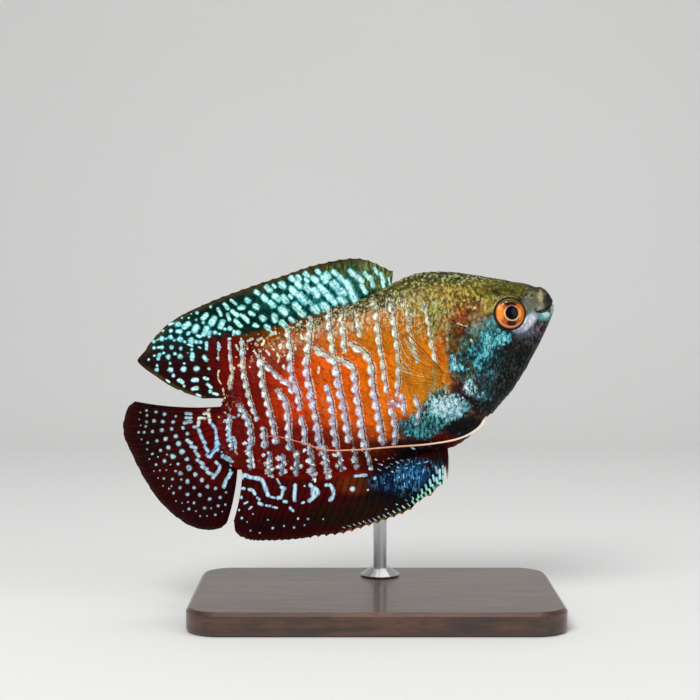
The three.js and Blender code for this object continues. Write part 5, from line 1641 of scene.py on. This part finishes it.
def makeFin(name, fin, outAt, material, slot, node):
    sheet = finSheet(fin, outAt)
    piece, row, column = layGrid(name, sheet["places"])
    ray, level, gap, toEdge = (sheet[key][row, column] for key in ("ray", "level", "gap", "toEdge"))
    share = rayShare(fin, ray, level, gap)
    place = seen(points(piece))
    paint = layTints(place, *fin["ground"])
    if "sheath" in fin:
        sheath = sheathShare(fin, place)
        paint += (layTints(place, groundTint, ground) - paint) * sheath[:, None]
        share = share * (1 - 0.85 * sheath)
        markStripes(piece, place)
        (startX, startY), (towardsX, towardsY) = frameRows["from"], frameRows["towards"]
        rows = towardsX * (place[0] - startX) + towardsY * (place[1] - startY)
        setNumber(piece, "row", rows / frameRows["size"])
        setNumber(piece, "sheath", sheath)
        setNumber(piece, "flecks", sheath * smoothStep(place[0], 232, 262) * fin.get("flecks", 0))
    if "clear" not in fin:
        markStrokes(piece, place)
    if "edge" in fin:
        code, most, width, start = fin["edge"]
        line = most * bell(toEdge - width, width) * smoothStep(place[0], start, start + 15)
        paint += (tint(code) - paint) * line[:, None]
    setPaint(piece, "paint", paint)
    for attribute, key in (("rayTint", "raysTint"), ("paleTint", "pale"), ("rimTint", "rim")):
        setPaint(piece, attribute, layTints(place, *fin[key]))
    setNumber(piece, "marks", fromMarks(place, fin["marks"]))
    setNumber(piece, "halo", layAmounts(place, fin.get("halo", [])))
    if "shine" in fin:
        setNumber(piece, "shine", layAmounts(place, fin["shine"][1]))
    setNumber(piece, "ray", share)
    setNumber(piece, "cover", finCover(fin, place, ray, level, share))
    group = piece.vertex_groups.new(name="thickness")
    for number, weight in enumerate(finThickness(level, share).tolist()):
        group.add((number,), weight, "REPLACE")
    useModifier(piece, "SOLIDIFY", thickness=finMake["thickness"], offset=0.0, vertex_group="thickness",
                thickness_vertex_group=0.0)
    piece.vertex_groups.clear()
    smoothFaces(piece, 65)
    finishPiece(piece, material, slot, node)


makeFin("dorsalFin", dorsal, middleWave(dorsal), finFinish("dorsalFin", dorsal), "dorsal_fin", "dorsal_fin")
makeFin("analFin", anal, middleWave(anal), finFinish("analFin", anal), "anal_fin", "anal_fin")
makeFin("tailFin", tail, middleWave(tail), finFinish("tailFin", tail), "tail_fin", "tail_fin")
clearFinish = finFinish("pectoralFin", pectoral)
makeFin("pectoralFinRight", pectoral, pectoralLean(-1), clearFinish, "pectoral_fin", "pectoral_fin_right")
makeFin("pectoralFinLeft", pectoral, pectoralLean(1), clearFinish, "pectoral_fin", "pectoral_fin_left")

# Feelers: behind the snout, up, and out from the middle
feelers = {
    "right": [
        [29.4, -22.8, 1.2], [31.4, -24.6, 2.4], [34.6, -25.4, 4], [39, -25.4, 5.3], [46.7, -23.8, 6.1],
        [57.5, -20.4, 6.6], [68.4, -17, 6.6], [74.9, -14.3, 6.5], [80.7, -9.7, 6.3], [85.4, -6.3, 6.1],
        [90.1, -4.1, 6.2],
    ],
    "left": [
        [29.4, -22.8, 1.2], [31.4, -24.8, 2.5], [34.6, -25.9, 4.4], [39, -26.3, 6], [46.7, -25.4, 7.4],
        [57.5, -22.9, 8.4], [68.4, -20.3, 8.6], [75.4, -18.4, 8.6], [82, -15, 8.4], [87, -12.2, 8.2],
        [91.4, -11, 8.1],
    ],
    "root": 0.36 * mm, "length": 0.165 * mm, "tip": 0.07 * mm,
    "steps": 240, "sides": 14,
}


def feelerFinish():
    finish = Finish("feeler")
    way, pores = finish.number("way"), finish.rise(finish.noise(0.0006, 2.0), 0.5, 0.7)
    colour = finish.mix("#ddd0ba", "#cf8f66", finish.rise(way, 0.12, 0.5))
    colour = finish.mix(colour, "#b4553c", finish.rise(way, 0.62, 1.0))
    colour = finish.mix(colour, "#ffffff", pores, 0.2)
    finish.bump(finish.noise(0.0003, 2.0), 0.2, 0.00005)
    finish.set(baseColor=colour, roughness=0.35, coatWeight=0.3, coatRoughness=0.15)
    return finish.material


# A round tube along a line, closed at both ends
def tube(name, centre, radius, sides):
    ahead = np.gradient(centre, axis=0)
    ahead /= np.linalg.norm(ahead, axis=1, keepdims=True)
    first = np.cross(ahead, np.array([0.0, 0.0, 1.0]))
    first /= np.linalg.norm(first, axis=1, keepdims=True)
    second = np.cross(first, ahead)
    turn = np.linspace(0, 2 * math.pi, sides + 1)[None, :, None]
    out = first[:, None] * np.cos(turn) + second[:, None] * np.sin(turn)
    places = centre[:, None] + radius[:, None, None] * out
    ends = [np.broadcast_to(middle, places[:1].shape) for middle in (centre[0], centre[-1])]
    piece, row, _ = layGrid(name, np.concatenate([ends[0], places, ends[1]]))
    setNumber(piece, "way", row / row.max())
    closeShell(piece, 0.0000005)
    smoothFaces(piece, 60)
    return piece


def makeFeeler(name, route, side, material, node):
    line = smoothPath(route, feelers["steps"])
    way = np.linspace(0, 1, feelers["steps"])
    thin = feelers["length"] + (feelers["tip"] - feelers["length"]) * way**2
    radius = feelers["root"] + (thin - feelers["root"]) * np.minimum(1, way / 0.14) ** 0.8
    centre = world(line[:, 0], line[:, 1], side * line[:, 2])
    finishPiece(tube(name, centre, radius, feelers["sides"]), material, "feeler", node)


feelerMaterial = feelerFinish()
makeFeeler("pelvicFeelerRight", feelers["right"], -1, feelerMaterial, "pelvic_feeler_right")
makeFeeler("pelvicFeelerLeft", feelers["left"], 1, feelerMaterial, "pelvic_feeler_left")


# The stand
def woodFinish():
    finish = Finish("standWood")
    grain = finish.noise(0.012, 6.0, 0.65, (1, 7, 7), True)
    fine = finish.noise(0.0022, 4.0, 0.7, (1, 7, 7), True)
    colour = finish.mix("#2a1810", "#54311d", finish.rise(grain, 0.35, 0.65))
    colour = finish.mix(colour, "#1a0e08", finish.rise(fine, 0.52, 0.68), 0.6)
    finish.bump(fine, 0.12, 0.0001)
    finish.set(baseColor=colour, roughness=0.38, coatWeight=0.4, coatRoughness=0.12)
    return finish.material


def steelFinish():
    finish = Finish("standSteel")
    brushed = finish.noise(0.0014, 3.0, 0.6, (1, 1, 14), True)
    finish.bump(brushed, 0.1, 0.00003)
    finish.set(baseColor=finish.mix("#a9abae", "#d4d6d8", brushed), metallic=1.0, roughness=0.32)
    return finish.material


for nodeName, material in (("stand_base", woodFinish()), ("stand_rod", steelFinish())):
    node = frame["nodes"][nodeName]
    node.data.materials.clear()
    node.data.materials.append(material)

# Floor, light and camera
studio = {"floor": "#dcdcda", "width": 1.6, "front": -0.9, "behind": 0.42, "high": 0.9, "bend": 0.16}


def makeFloor():
    clearSelection()
    bpy.ops.mesh.primitive_plane_add(size=1)
    floor = bpy.context.object
    floor.name = "studioFloor"
    mesh = floor.data
    for vertex in mesh.vertices:
        vertex.co.x *= studio["width"]
        vertex.co.y = studio["behind"] if vertex.co.y > 0 else studio["front"]
    bpy.ops.object.mode_set(mode="EDIT")
    bpy.ops.mesh.select_all(action="DESELECT")
    bpy.ops.object.mode_set(mode="OBJECT")
    for edge in mesh.edges:
        edge.select = all(mesh.vertices[k].co.y > 0 for k in edge.vertices)
    for vertex in mesh.vertices:
        vertex.select = vertex.co.y > 0
    bpy.ops.object.mode_set(mode="EDIT")
    bpy.ops.mesh.extrude_region_move(TRANSFORM_OT_translate={"value": (0, 0, studio["high"])})
    bpy.ops.object.mode_set(mode="OBJECT")
    useModifier(floor, "BEVEL", width=studio["bend"], segments=24, limit_method="ANGLE")
    smoothFaces(floor, 60)
    finish = Finish("studioFloor")
    shade = finish.mix(studio["floor"], "#d2d2d0", finish.noise(0.3, 2.0))
    finish.set(baseColor=shade, roughness=0.85)
    floor.data.materials.append(finish.material)


def addLight(name, at, size, power, colour="#ffffff"):
    data = bpy.data.lights.new(name, "AREA")
    data.shape = "DISK"
    data.size = size
    data.energy = power
    data.color = tint(colour)
    lamp = bpy.data.objects.new(name, data)
    scene.collection.objects.link(lamp)
    lamp.location = at
    lamp.rotation_euler = (Vector(view["lookAt"]) - Vector(at)).to_track_quat("-Z", "Y").to_euler()


def addCamera():
    data = bpy.data.cameras.new("camera")
    data.lens = view["lens"]
    data.sensor_width = view["sensor"]
    data.clip_start = 0.01
    camera = bpy.data.objects.new("camera", data)
    scene.collection.objects.link(camera)
    tilt = math.radians(view["above"])
    away = Vector((0, -math.cos(tilt), math.sin(tilt)))
    camera.location = Vector(view["lookAt"]) + away * view["distance"]
    camera.rotation_euler = (-away).to_track_quat("-Z", "Y").to_euler()
    scene.camera = camera


makeFloor()
addLight("keyLight", (-0.14, -0.34, 0.4), 0.24, 2.1)
addLight("fillLight", (0.36, -0.28, 0.2), 0.35, 0.7)
addLight("topLight", (0.05, 0.05, 0.5), 0.4, 0.7)
air = bpy.data.worlds.new("studioAir")
air.use_nodes = True
air.node_tree.nodes["Background"].inputs["Color"].default_value = rgba("#eef0f3")
air.node_tree.nodes["Background"].inputs["Strength"].default_value = 0.4
scene.world = air
scene.view_settings.view_transform = "Standard"
addCamera()
print("studio ready")
